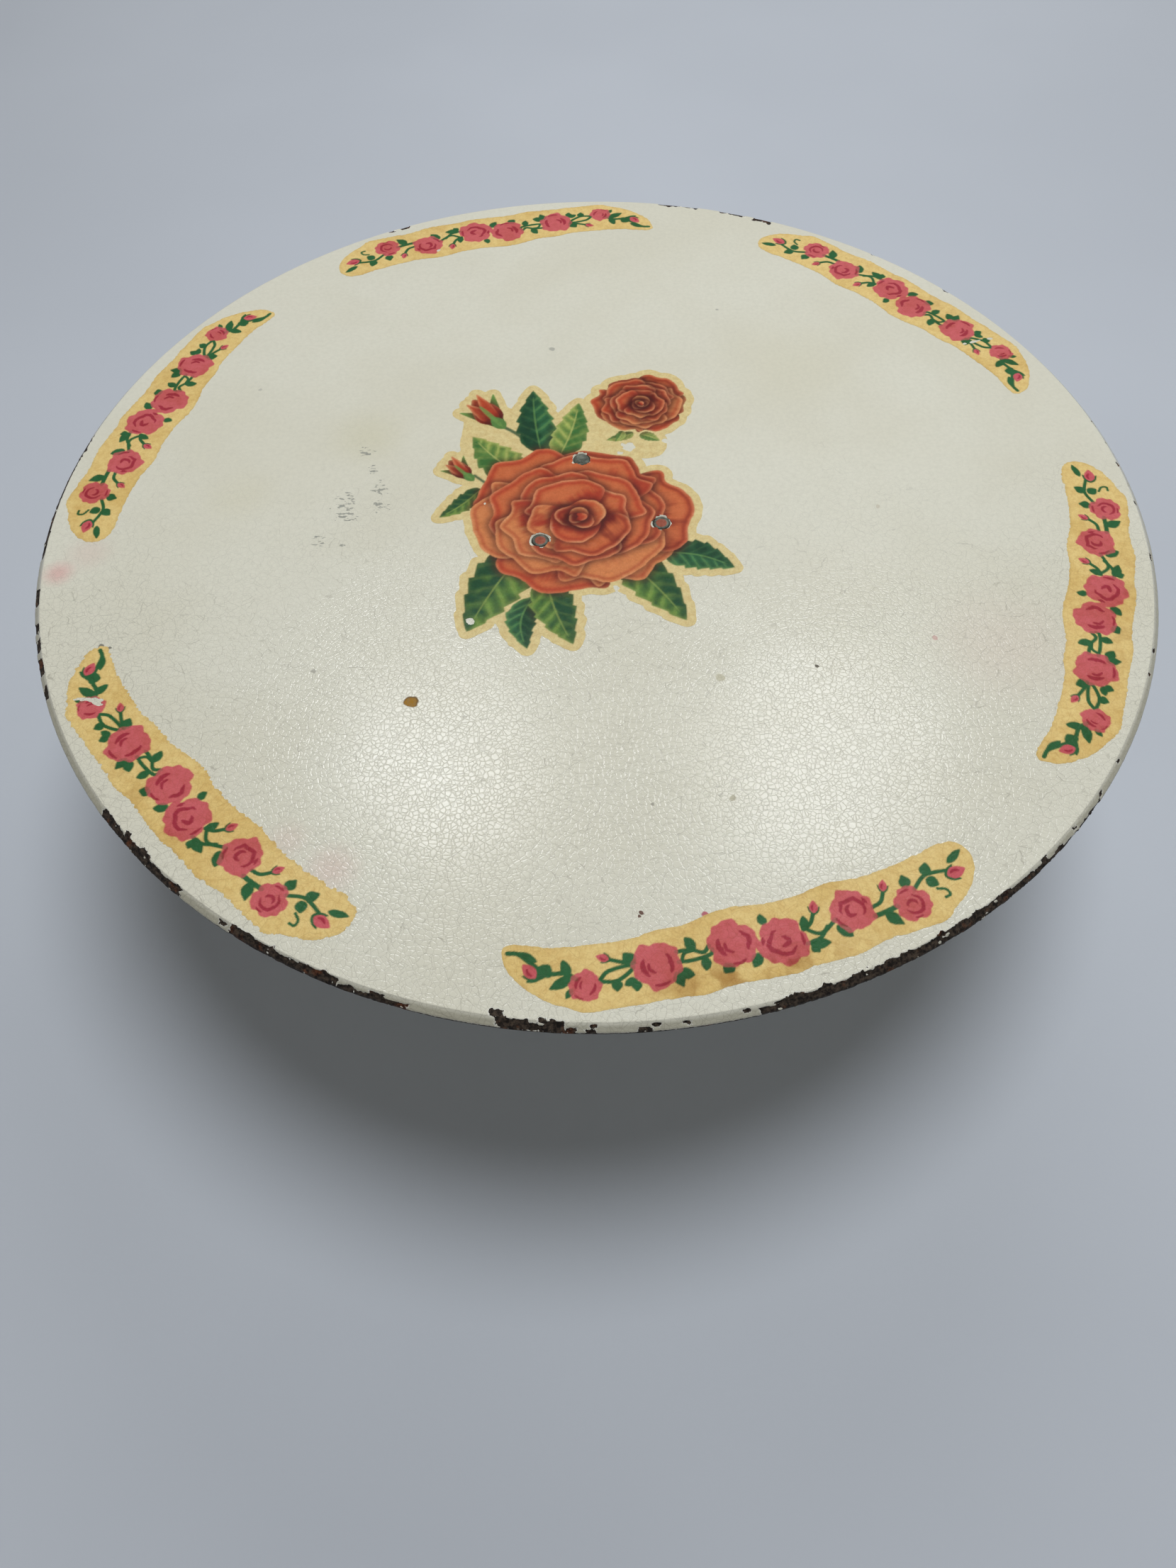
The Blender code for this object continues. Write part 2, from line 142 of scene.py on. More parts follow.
class Look:
    """One node material. Each method adds a node and gives back its result as a Value.
    A colour may be a Value or a six-figure web colour."""

    def __init__(self, name, **constants):
        self.material = bpy.data.materials.new(name)
        self.material.use_nodes = True
        self.tree = self.material.node_tree
        self.shader = self.tree.nodes["Principled BSDF"]
        for socket, value in constants.items():
            self.shader.inputs[socket.replace("_", " ")].default_value = value
        self.place = self.add("TexCoord", "Object")

    def put(self, socket, value):
        if isinstance(value, Value):
            self.tree.links.new(value.socket, socket)
        else:
            socket.default_value = rgb(value) if isinstance(value, str) else value

    def add(self, kind, output, inputs=None, **settings):
        node = self.tree.nodes.new("ShaderNode" + kind)
        for name, value in settings.items():
            setattr(node, name, value)
        for socket, value in (inputs or {}).items():
            self.put(node.inputs[socket], value)
        return Value(self, node.outputs[output])

    def math(self, operation, first, second):
        return self.add("Math", 0, {0: first, 1: second}, operation=operation)

    def most(self, first, second):
        return self.math("MAXIMUM", first, second)

    def step(self, value, low, high, start=0.0, end=1.0):
        inputs = {"Value": value, "From Min": low, "From Max": high, "To Min": start, "To Max": end}
        return self.add("MapRange", "Result", inputs, interpolation_type="SMOOTHSTEP")

    def mix(self, factor, first, second, blend="MIX"):
        inputs = {0: factor, 6: first, 7: second}
        return self.add("Mix", 2, inputs, data_type="RGBA", blend_type=blend)

    def noise(self, size, detail=4.0, roughness=0.5, place=None, output="Fac"):
        inputs = {"Vector": place or self.place, "Scale": 1 / size, "Detail": detail, "Roughness": roughness}
        return self.add("TexNoise", output, inputs)

    def cells(self, size, feature="DISTANCE_TO_EDGE", place=None):
        inputs = {"Vector": place or self.place, "Scale": 1 / size}
        return self.add("TexVoronoi", "Distance", inputs, feature=feature)

    def vector(self, operation, first, second, output="Vector"):
        return self.add("VectorMath", output, {0: first, 1: second}, operation=operation)

    def stretched(self, x, y, z):
        return self.vector("MULTIPLY", self.place, (x, y, z))

    def wobbled(self, size, amount):
        """The place moved about a little, so that straight lines turn into drawn ones."""
        centred = self.vector("SUBTRACT", self.noise(size, 2.0, output="Color"), (0.5, 0.5, 0.5))
        scaled = self.add("VectorMath", "Vector", {0: centred, "Scale": amount}, operation="SCALE")
        return self.vector("ADD", self.place, scaled)

    def distance(self, x, y, z, place=None):
        return self.vector("DISTANCE", place or self.place, (x, y, z), "Value")

    def along_axis(self, axis):
        return self.add("SeparateXYZ", axis, {0: self.place})

    def attribute(self, name, output="Fac"):
        return self.add("Attribute", output, attribute_name=name)

    def bump(self, height, distance):
        return self.add("Bump", "Normal", {"Height": height, "Distance": distance})

    def finish(self, colour, roughness, normal, metallic=None):
        results = {"Base Color": colour, "Roughness": roughness, "Normal": normal, "Metallic": metallic}
        for socket, value in results.items():
            if value is not None:
                self.put(self.shader.inputs[socket], value)
        return self.material


def crackle(look, cell):
    """Fine age cracks: (how much of a crack is here, height of the slightly domed cells).
    They are plain on the half of the plate towards -Y and fade out across the other."""
    place = look.wobbled(2.5 * MM, 0.6 * MM)
    fine = look.cells(cell, place=place)
    long_ones = look.cells(2.5 * cell, place=place)
    fine_line = look.step(fine, 0.006, 0.048, 1.0, 0.0)
    long_line = look.step(long_ones, 0.003, 0.018, 1.0, 0.0)
    sideways = look.along_axis("Y")
    drift = sideways + (look.noise(50 * MM, 2.0) - 0.5) * 0.1
    present = look.step(drift, -0.055, 0.035, 1.0, 0.10)
    crack = look.most(fine_line * 0.5, long_line * 0.8)
    crack = crack * present
    tilt = look.cells(cell, "F1", place=place)
    dome = look.step(fine, 0.0, 0.17) + tilt * -0.3
    height = (dome * 1.3 + crack * -0.8) * present
    return crack, height


def rust(look):
    """Bare, rusted steel: (colour, height)."""
    grain = look.noise(0.9 * MM, 6.0, 0.7)
    patches = look.noise(5 * MM, 3.0, 0.6)
    dark = look.mix(look.step(grain, 0.38, 0.66), "17120f", "52463b")
    warm = look.mix(look.step(grain, 0.38, 0.66), "2b150d", "74462b")
    return look.mix(look.step(patches, 0.56, 0.70), dark, warm), grain


# Marks on the plate's top, in mm: x, y, radius, colour, strength
MARKS = (
    (-46.5, -67.1, 2, "74500f", 0.95),
    (-46.6, -67.3, 1.6, "ab7e2e", 0.85),
    (22.4, -126.5, 0.9, "c0566a", 0.90),
    (8.4, -125.7, 0.55, "5a2c1c", 0.90),
    (7.9, -126.6, 0.45, "5a2c1c", 0.90),
    (55, -57.8, 0.65, "4a4036", 0.85),
    (86.4, -49.2, 0.9, "cf8f8c", 0.55),
    (-12.2, 69.4, 1.1, "9a9a90", 0.65),
    (30.5, -61, 1.4, "b9b18e", 0.55),
    (30.8, -96.4, 1, "a89f7c", 0.55),
    (-71.7, -57, 0.7, "8d8a80", 0.55),
    (79, -1.8, 0.8, "b6a98e", 0.50),
    (-127.3, -47.9, 0.9, "5b5850", 0.80),
    (-124.9, -48.3, 0.6, "5b5850", 0.80),
    (-101, 52, 0.7, "a3a197", 0.50),
    (41, 88, 0.6, "8f8d83", 0.60),
    (12, -98, 0.5, "77736a", 0.60),
    (-95, -92, 0.5, "77736a", 0.60),
)
# Wide, faint stains: x, y, radius, colour, strength
STAINS = (
    (-144.5, -22.3, 6, "e8a7a4", 0.55),
    (-138, -15, 9, "e4bcb2", 0.25),
    (-61, -113.5, 9, "e3b4ae", 0.30),
    (-72, -106, 7, "e3b4ae", 0.20),
    (104, -52, 26, "e6c4ba", 0.16),
    (-66, 30, 16, "d3cc9f", 0.22),
    (-100, 6, 14, "d8cfa6", 0.16),
    (60, 60, 30, "ded7b4", 0.12),
)
# Flaked patch left of the spray, in mm: x, y, reach
FLAKES = (
    (-66, 24, 4),
    (-63.5, 16, 3),
    (-60, 9, 4.5),
    (-59.5, 1.5, 4.5),
    (-70, 3, 5.5),
    (-69, -2.5, 4.5),
    (-75.5, -12, 4),
    (-69, -14, 1.6),
)


def marked(look, colour, edge_place):
    """Spots, stains and the flaked patch laid over the enamel: (colour, flake mask, how dull it is)."""
    top = PLATE_TOP
    dull = 0.0
    for x, y, radius, code, strength in STAINS + MARKS:
        away = look.distance(x * MM, y * MM, top, edge_place)
        soft = 0.05 if radius > 3 else 0.72
        amount = look.step(away, soft * radius * MM, radius * MM, strength, 0.0)
        colour = look.mix(amount, colour, code)
        if radius < 3:
            dull = look.most(dull, amount)
    near = None
    for x, y, reach in FLAKES:
        spot = look.step(look.distance(x * MM, y * MM, top), 0.2 * reach * MM, 1.15 * reach * MM, 1.0, 0.0)
        near = spot if near is None else look.most(near, spot)
    speck = look.noise(1.3 * MM, 2.0, 0.6, place=look.stretched(0.7, 1.5, 1.0))
    flaked = look.step(speck + near * 0.21, 0.745, 0.79)
    flaked = flaked * look.step(near, 0.02, 0.2)
    colour = look.mix(flaked * 0.75, colour, "8b8d86")
    return colour, flaked, look.most(flaked, dull)


def enamel_look():
    look = Look("plate_enamel")
    edge_place = look.wobbled(2.0 * MM, 1.2 * MM)
    clouds = look.noise(45 * MM, 3.0)
    grain = look.noise(1.2 * MM, 4.0)
    colour = look.mix(look.step(clouds, 0.3, 0.7), "e5e1ce", "eae7d6")
    colour = look.mix(look.step(grain, 0.25, 0.8, 0.0, 0.25), colour, "cfccba")
    colour, flaked, dull = marked(look, colour, edge_place)
    side = look.attribute("side")
    # Painted shade: the rim's side band, from 0.1 mm below the top downwards, is multiplied darker as if it
    # lay in shadow under the top
    colour = look.mix(look.step(side, 0.10, 0.80), colour, "d6d5d0", "MULTIPLY")
    crack, cell_height = crackle(look, 1.25 * MM)
    colour = look.mix(crack * 0.54, colour, "8a8475")
    chip = look.most(look.attribute("chip"), look.step(side, 1.2, 1.9, 0.0, 0.62))
    teeth = (look.noise(0.75 * MM, 4.0, 0.65) - 0.5) * 0.85
    ragged = chip + teeth
    bare = look.step(ragged, 0.49, 0.52)
    lip = look.step(ragged, 0.36, 0.46) * look.step(ragged, 0.49, 0.51, 1.0, 0.0)
    colour = look.mix(lip * 0.6, colour, "f4f3ec")
    rust_colour, rust_grain = rust(look)
    colour = look.mix(bare, colour, rust_colour)
    gloss = look.step(look.noise(30 * MM, 3.0), 0.3, 0.7, 0.12, 0.18)
    roughness = gloss + crack * 0.12
    roughness = look.most(roughness, look.most(bare, dull) * 0.82)
    peel = look.noise(2.2 * MM, 3.0)
    height = cell_height * 0.34 + peel * 0.4 + flaked * -2.0 + rust_grain * bare * 6.0 + bare * -3.0
    return look.finish(colour, roughness, look.bump(height, 0.03 * MM))


def transfer_look():
    """Printed film: the paint is in the mesh; grain, mottling and tiny blisters are added here."""
    look = Look("printed_transfer", Specular_IOR_Level=0.28)
    paint = look.attribute("paint", "Color")
    mottle = look.step(look.noise(1.8 * MM, 5.0, 0.7), 0.35, 0.75)
    paint = look.mix(mottle * 0.38, paint, "d8b98c", "MULTIPLY")
    grain = look.step(look.noise(0.4 * MM, 2.0), 0.35, 0.70)
    paint = look.mix(grain * 0.22, paint, "d9c9a6", "MULTIPLY")
    crack, cell_height = crackle(look, 1.6 * MM)
    paint = look.mix(crack * 0.3, paint, "b59a70", "MULTIPLY")
    roughness = look.step(look.noise(8 * MM, 3.0), 0.3, 0.7, 0.30, 0.46)
    blister = look.step(look.cells(5.5 * MM, "F1"), 0.05, 0.14, 1.0, 0.0)
    height = look.noise(0.9 * MM, 4.0) * 0.8 + blister * 1.2 + cell_height * 0.25
    return look.finish(paint, roughness, look.bump(height, 0.03 * MM))


def painted_iron_look():
    """Cream paint over cast iron, with pinholes, grime and rust along its foot and neck."""
    look = Look("painted_iron", Coat_Weight=0.1, Coat_Roughness=0.2)
    clouds = look.noise(25 * MM, 4.0)
    colour = look.mix(look.step(clouds, 0.3, 0.7), "d6d3c2", "e3e0d2")
    grime = look.step(look.noise(9 * MM, 5.0, 0.65), 0.50, 0.74)
    colour = look.mix(grime * 0.3, colour, "a39a7f")
    sand = look.noise(0.8 * MM, 4.0, 0.6)
    lumps = look.noise(5 * MM, 3.0)
    pinhole = look.step(look.cells(6 * MM, "F1"), 0.04, 0.09, 1.0, 0.0)
    colour = look.mix(pinhole * 0.7, colour, "6b5f4c")
    up = look.along_axis("Z")
    foot_wear = look.step(up, 5 * MM, 20 * MM, 0.52, 0.05)
    below_top = look.step(up, 97 * MM, 98 * MM, 1.0, 0.0)
    neck_wear = look.step(up, 84 * MM, 95 * MM, 0.0, 0.48) * below_top
    wear = look.most(look.attribute("chip"), look.most(foot_wear, neck_wear))
    ragged = wear + (look.noise(2.4 * MM, 5.0, 0.68) - 0.5) * 0.75
    bare = look.step(ragged, 0.49, 0.53)
    rust_colour, rust_grain = rust(look)
    halo = look.step(ragged, 0.36, 0.5) * 0.45
    colour = look.mix(halo, colour, "b38a5c")
    colour = look.mix(bare, colour, rust_colour)
    roughness = look.step(look.noise(12 * MM, 3.0), 0.3, 0.7, 0.34, 0.50)
    roughness = look.most(roughness, bare * 0.85)
    height = sand * 1.0 + lumps * 1.6 + pinhole * -1.5 + bare * -2.0
    return look.finish(colour, roughness, look.bump(height, 0.06 * MM))


def cast_look():
    """Rough dark casting, unpainted, with a trace of rust."""
    look = Look("cast_metal")
    sand = look.noise(0.7 * MM, 5.0, 0.65)
    blotch = look.noise(7 * MM, 4.0)
    colour = look.mix(look.step(blotch, 0.35, 0.7), "4a4640", "615c54")
    colour = look.mix(look.step(sand, 0.55, 0.72, 0.0, 0.5), colour, "5c3a24")
    roughness = look.step(sand, 0.3, 0.7, 0.55, 0.75)
    metallic = look.step(sand, 0.5, 0.75, 0.8, 0.35)
    return look.finish(colour, roughness, look.bump(sand, 0.10 * MM), metallic)


def rivet_look():
    """Dull, mottled grey-green steel with a dark ring painted near its edge as the shade of a groove, and
    some of the print left on it.
    """
    look = Look("rivet_steel")
    grain = look.noise(0.5 * MM, 4.0, 0.6)
    blotch = look.noise(1.6 * MM, 3.0)
    colour = look.mix(look.step(blotch, 0.35, 0.65), "5c6056", "7c8074")
    colour = look.mix(look.step(grain, 0.56, 0.70, 0.0, 0.7), colour, "3b382f")
    # Painted shade: on a rivet the chip values mark a ring near the crown's edge, darkened as the shade of a
    # groove would be
    rim = look.attribute("chip")
    colour = look.mix(rim * 0.8, colour, "34312b")
    kept = look.step(look.attribute("film") + (grain - 0.5) * 0.8, 0.42, 0.58)
    colour = look.mix(kept * 0.85, colour, "b05a44")
    roughness = look.step(grain, 0.3, 0.7, 0.42, 0.66)
    metallic = look.step(blotch, 0.3, 0.7, 0.60, 0.30)
    return look.finish(colour, roughness, look.bump(grain, 0.05 * MM), metallic)


def steel_look():
    """Ground steel: fine rings round the axis and a film of old grease."""
    look = Look("ground_steel")
    rings = look.noise(0.25 * MM, 2.0, place=look.stretched(0.05, 0.05, 1.0))
    smear = look.noise(5 * MM, 4.0)
    colour = look.mix(look.step(smear, 0.35, 0.7), "b9b8b4", "8f8b80")
    colour = look.mix(look.step(smear, 0.62, 0.76, 0.0, 0.6), colour, "5e4a30")
    roughness = look.step(smear, 0.3, 0.7, 0.22, 0.42)
    metallic = look.step(smear, 0.60, 0.8, 1.0, 0.7)
    return look.finish(colour, roughness, look.bump(rings, 0.01 * MM), metallic)


def bronze_look():
    look = Look("bronze")
    pores = look.noise(0.35 * MM, 3.0)
    smear = look.noise(4 * MM, 4.0)
    colour = look.mix(look.step(smear, 0.35, 0.7), "b08a4e", "7f6236")
    colour = look.mix(look.step(pores, 0.6, 0.7, 0.0, 0.6), colour, "3c2c18")
    roughness = look.step(smear, 0.3, 0.7, 0.30, 0.50)
    metallic = look.step(smear, 0.55, 0.8, 1.0, 0.8)
    return look.finish(colour, roughness, look.bump(pores, 0.03 * MM), metallic)


def rubber_look():
    look = Look("black_rubber")
    dust = look.noise(3 * MM, 5.0, 0.65)
    grain = look.noise(0.4 * MM, 3.0)
    colour = look.mix(look.step(dust, 0.45, 0.75), "242321", "55514a")
    roughness = look.step(dust, 0.3, 0.7, 0.65, 0.9)
    return look.finish(colour, roughness, look.bump(grain, 0.04 * MM))


def floor_look():
    look = Look("pale_floor")
    clouds = look.noise(0.25, 3.0)
    colour = look.mix(look.step(clouds, 0.3, 0.7), "cbd0d8", "d0d5dd")
    fibre = look.noise(1.5 * MM, 3.0)
    roughness = look.step(fibre, 0.3, 0.7, 0.75, 0.85)
    return look.finish(colour, roughness, look.bump(fibre, 0.02 * MM))


# ---------------------------------------------------------------- mesh helpers


def make_object(name, vertices, faces, material):
    mesh = bpy.data.meshes.new(name)
    mesh.from_pydata(vertices.tolist(), [], faces.tolist())
    mesh.materials.append(material)
    mesh.shade_smooth()
    mesh.set_sharp_from_angle(angle=math.radians(40))
    piece = bpy.data.objects.new(name, mesh)
    bpy.context.scene.collection.objects.link(piece)
    return piece


def store_values(piece, name, values):
    attribute = piece.data.attributes.new(name, "FLOAT", "POINT")
    attribute.data.foreach_set("value", values.astype(np.float32))


def store_colours(piece, name, colours):
    attribute = piece.data.attributes.new(name, "FLOAT_COLOR", "POINT")
    full = np.ones((len(colours), 4), np.float32)
    full[:, :3] = colours
    attribute.data.foreach_set("color", full.ravel())


def lathe(profile, segments, closed):
    """Vertices (around, along, 3) and quads of an (r, z) profile turned about the Z axis."""
    profile = np.array(profile, float)
    angles = 2 * math.pi * np.arange(segments) / segments
    r, z = profile[:, 0], profile[:, 1]
    grid = np.stack([np.outer(np.cos(angles), r), np.outer(np.sin(angles), r), np.tile(z, (segments, 1))], -1)
    count = len(profile)
    steps = np.arange(count if closed else count - 1)
    around = np.arange(segments)[:, None]
    beyond = (around + 1) % segments
    after = (steps + 1) % count
    corners = ((around, steps), (around, after), (beyond, after), (beyond, steps))
    quads = np.stack([turn * count + place for turn, place in corners], -1)
    return grid, quads.reshape(-1, 4)


def arc(centre_r, centre_z, radius, start, end, steps):
    """Points (r, z) on an arc; angles in degrees, 0 pointing outwards and 90 up."""
    angles = np.radians(np.linspace(start, end, steps + 1))
    return [(centre_r + radius * math.cos(a), centre_z + radius * math.sin(a)) for a in angles]


def finish_piece(piece, body, slot_name, *nodes):
    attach(piece, body)
    if nodes:
        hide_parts(*nodes)
    return piece


def rivet_centres():
    centres = []
    for name in RIVET_NODES:
        low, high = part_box(name)
        centres.append(((low.x + high.x) / 2, (low.y + high.y) / 2))
    return centres


# ---------------------------------------------------------------- plate


def unevenness(x, y):
    """The plate's gentle waves, as a height in metres."""
    return (fractal(x, y, 70 * MM, 3, 3) - 0.5) * 0.10 * MM


# Small blisters under the enamel and the transfer, in mm: x, y, radius, height
BLISTERS = (
    (-29.3, 1.6, 0.9, 0.16),
    (-0.8, -13.9, 0.9, 0.18),
    (-20, -8, 0.5, 0.08),
    (-11.5, -7.6, 0.4, 0.07),
)


def blisters(x, y):
    height = np.zeros_like(x)
    for bx, by, radius, rise in BLISTERS:
        away = np.hypot(x - bx * MM, y - by * MM)
        height += rise * MM * (1 - smooth(away, 0, 1.6 * radius * MM))
    return height


def make_plate_top(material):
    """The enamelled top skin, dished where the rivets sit."""
    radii = np.concatenate([
        np.linspace(0.6, 15, 15) * MM,
        np.linspace(15.3, 24, 30) * MM,
        np.linspace(26 * MM, RIM_START, 60),
    ])
    profile = [(r, ENAMEL_TOP) for r in radii] + [(r, ENAMEL_TOP - SKIN) for r in (RIM_START, 0.6 * MM)]
    grid, quads = lathe(profile, TOP_SEGMENTS, closed=True)
    x, y = grid[:, :, 0], grid[:, :, 1]
    upper = np.arange(len(profile)) < len(radii)
    rise = unevenness(x, y) + blisters(x, y)
    for cx, cy in rivet_centres():
        away = np.hypot(x - cx, y - cy)
        rise -= RECESS_DEPTH * (1 - smooth(away, RECESS_RADIUS - 0.25 * MM, RECESS_RADIUS + 0.15 * MM))
    grid[:, :, 2] += np.where(upper, rise, 0)
    piece = make_object("plate_top", grid.reshape(-1, 3), quads, material)
    return finish_piece(piece, "turntable", "plate_enamel", "plate")


# Chips round the rim: from and to in degrees anticlockwise from +X, then the depths past the arris
# where they begin and end. A negative depth is on the top face.
CHIPS = (
    (-165, -163.6, 0.6, 5.5), (-162.9, -161.2, 0.2, 5.5), (-160.4, -158.2, 0, 5.5),
    (-156.6, -155.2, 1.4, 4.5), (-140.2, -136.5, 0.5, 6), (-137, -133, -0.2, 6),
    (-133.2, -128.6, 0.9, 6), (-123.9, -123.3, 1.4, 3.4), (-122.8, -118.6, 0.5, 6),
    (-118.8, -115.5, 1.4, 6), (-115.8, -112, 0.7, 6), (-112.2, -105.8, 2.6, 6),
    (-109.3, -107.9, 1.2, 6), (-99.4, -98.2, -1.5, 0.6), (-98.9, -96.3, 0, 4.2),
    (-98.6, -95.3, 1.8, 5), (-95.3, -93.2, -0.2, 5), (-93.3, -92.3, 2.6, 5),
    (-91.3, -90.7, 1, 2.2), (-91.6, -90.8, 3.4, 5), (-87.5, -86.4, 2.4, 5),
    (-86.5, -85.5, 1.2, 3), (-83.8, -83.2, 1.6, 3.6), (-79, -78.5, 0.8, 2.4),
    (-77.6, -74, 2.2, 6.5), (-76.4, -68, 0.2, 6.5), (-74.2, -55, 0.1, 6.5),
    (-56, -53, 0.6, 6), (-53.6, -50.2, 1.3, 6), (-50.6, -46, 2.6, 6),
    (-46.6, -40, 3.8, 6), (-49, -48.3, 0.6, 3.2), (-44.4, -43.8, 1.2, 3),
    (-39.6, -39.1, 1.5, 3.4), (-35.4, -34.9, 1, 2.4), (-24.2, -23.8, 0.6, 2.2),
    (-21.2, -20.6, 1.2, 3), (-8.7, -7.9, 0.4, 2.2), (-0.9, -0.3, 0.2, 1.8),
    (2, 2.5, 0.6, 2.2), (5, 5.5, 0.2, 1.6), (8.5, 9.2, 0.3, 2),
    (11.6, 12.6, 0.4, 2.4), (39.2, 40.1, -0.2, 2.6), (50.2, 51.1, -0.3, 2.2),
    (65.2, 67.6, -1.4, 3.5), (68.3, 72.2, -0.5, 4), (75.4, 80.5, -0.5, 4),
    (114.1, 115.3, -0.9, 3), (116.2, 117.1, -0.7, 2.6), (167.5, 175, 0.2, 5.5),
    (174.5, 186, 0.6, 5.5), (190.4, 192.6, 0.6, 4.5),
)


def chip_field(azimuth, depth):
    """1 in the middle of a chip, 0 on sound enamel, 0.5 along a chip's ragged edge."""
    along = azimuth * PLATE_RADIUS / MM
    rough = fractal(along, depth, 2.2, 11, 4) - 0.5
    fine = fractal(along, depth, 0.7, 12, 3) - 0.5
    field = np.full(azimuth.shape, -3.0)
    for start, end, high, low in CHIPS:
        middle, half = math.radians((start + end) / 2), math.radians((end - start) / 2)
        off = np.abs((azimuth - middle + math.pi) % (2 * math.pi) - math.pi)
        inside = np.minimum((half - off) * PLATE_RADIUS / MM, np.minimum(depth - high, low - depth))
        amount = min(1.0, 0.35 + (end - start) / 6)
        field = np.maximum(field, inside + amount * 2.6 * rough + 0.8 * fine)
    islands = fractal(along, depth, 1.7, 13, 2)
    field = np.minimum(field, (0.80 - islands) * 9)
    return np.clip(0.5 + field / 1.6, 0, 1)


def rim_profile():
    """The rim's closed section, as (r, z): flat top, crisp arris, sloping side, rounded lower edge."""
    crease = PLATE_RADIUS - ARRIS
    widest, low = ENAMEL_TOP - 1.75 * MM, PLATE_BOTTOM + 1.2 * MM
    profile = [(r, ENAMEL_TOP) for r in np.linspace(RIM_START, crease - 1.6 * MM, 4)[:-1]]
    profile += [(r, ENAMEL_TOP) for r in np.linspace(crease - 1.6 * MM, crease - 0.1 * MM, 7)]
    slope = arc(crease, ENAMEL_TOP - 0.3 * MM, 0.3 * MM, 75, 48, 2)
    start, end = slope[-1], (PLATE_RADIUS - 0.35 * MM, ENAMEL_TOP - 1.25 * MM)
    profile += slope
    profile += [tuple(np.array(start) + t * (np.array(end) - start)) for t in np.linspace(0, 1, 7)[1:]]
    profile += [(PLATE_RADIUS - 0.08 * MM, ENAMEL_TOP - 1.5 * MM), (PLATE_RADIUS, widest)]
    profile += arc(PLATE_RADIUS - 1.2 * MM, low, 1.2 * MM, 0, -90, 7)
    profile += [(r, PLATE_BOTTOM) for r in np.linspace(PLATE_RADIUS - 1.8 * MM, RIM_START, 5)]
    return profile


def make_plate_rim(material):
    """The chipped edge of the plate: a closed ring."""
    profile = rim_profile()
    grid, quads = lathe(profile, RIM_SEGMENTS, closed=True)
    profile = np.array(profile)
    lengths = np.concatenate([[0], np.cumsum(np.hypot(*np.diff(profile, axis=0).T))]) / MM
    below = lengths - (PLATE_RADIUS - ARRIS - RIM_START) / MM
    depth = np.tile(np.where(below > 0, SIDE_SCALE * below, below), (RIM_SEGMENTS, 1))
    azimuth = np.arctan2(grid[:, :, 1], grid[:, :, 0])
    chips = chip_field(np.where(azimuth < math.radians(-150), azimuth + 2 * math.pi, azimuth), depth)
    inner = np.minimum(1, (grid_radius(grid) - RIM_START) / (2 * MM))
    lumps = fractal(azimuth * PLATE_RADIUS / MM, depth, 1.8, 17, 3) * smooth(depth, 0, 0.6)
    cut = (smooth(chips, 0.47, 0.62) * 0.20 + lumps * 0.12) * MM * inner
    middle = (ENAMEL_TOP + PLATE_BOTTOM) / 2
    out = np.array([profile[:, 0] - (PLATE_RADIUS - ARRIS), profile[:, 1] - middle])
    out /= np.maximum(np.hypot(*out), 1e-9)
    radial = grid[:, :, :2] / grid_radius(grid)[:, :, None]
    grid[:, :, :2] -= radial * (cut * np.maximum(out[0], 0))[:, :, None]
    grid[:, :, 2] -= cut * out[1]
    waves = unevenness(grid[:, :, 0], grid[:, :, 1])
    grid[:, :, 2] += np.where(profile[:, 1] > middle, waves, 0) * (depth < 0)
    piece = make_object("plate_rim", grid.reshape(-1, 3), quads, material)
    store_values(piece, "chip", chips.ravel())
    # side holds mm below the top down the side band; the enamel look paints shade on the band with it and
    # wears its lowest part to rust
    on_side = (profile[:, 0] > PLATE_RADIUS - ARRIS - 0.01 * MM) & (profile[:, 1] > PLATE_BOTTOM + 0.01 * MM)
    below_top = np.where(on_side, (ENAMEL_TOP - profile[:, 1]) / MM, 0)
    store_values(piece, "side", np.tile(below_top, RIM_SEGMENTS))
    return finish_piece(piece, "turntable", "plate_enamel")


def grid_radius(grid):
    return np.hypot(grid[:, :, 0], grid[:, :, 1])


def make_plate_underside(material):
    """The painted lower skin, from the hub out to the rim."""
    radii = np.concatenate([np.linspace(9, 40, 24) * MM, np.linspace(44 * MM, RIM_START, 40)])
    profile = [(r, PLATE_BOTTOM) for r in radii[::-1]]
    profile += [(r, PLATE_BOTTOM + SKIN) for r in (radii[0], RIM_START)]
    grid, quads = lathe(profile, UNDERSIDE_SEGMENTS, closed=True)
    x, y = grid[:, :, 0], grid[:, :, 1]
    lower = np.arange(len(profile)) < len(radii)
    away = np.minimum(1, (RIM_START - np.hypot(x, y)) / (10 * MM))
    waves = (fractal(x, y, 30 * MM, 5, 3) - 0.5) * 0.10 * MM
    grid[:, :, 2] += np.where(lower, waves * np.maximum(away, 0), 0)
    piece = make_object("plate_underside", grid.reshape(-1, 3), quads, material)
    wear = fractal(x, y, 22 * MM, 21, 4)
    store_values(piece, "chip", (0.30 * smooth(wear, 0.45, 0.75)).ravel())
    return finish_piece(piece, "turntable", "plate_enamel")


# ---------------------------------------------------------------- drawing in millimetres

# How far a painted shape's shadow falls on the paint beside it
SHADOW_REACH = 1.5


def spline(a, b, c, d, per_span):
    """Points of the smooth spans from each b to its c, where a comes before and d after."""
    t = (np.arange(per_span) / per_span)[None, :, None]
    a, b, c, d = a[:, None], b[:, None], c[:, None], d[:, None]
    square, cube = 2 * a - 5 * b + 4 * c - d, 3 * b - 3 * c + d - a
    return (0.5 * (2 * b + (c - a) * t + square * t ** 2 + cube * t ** 3)).reshape(-1, 2)


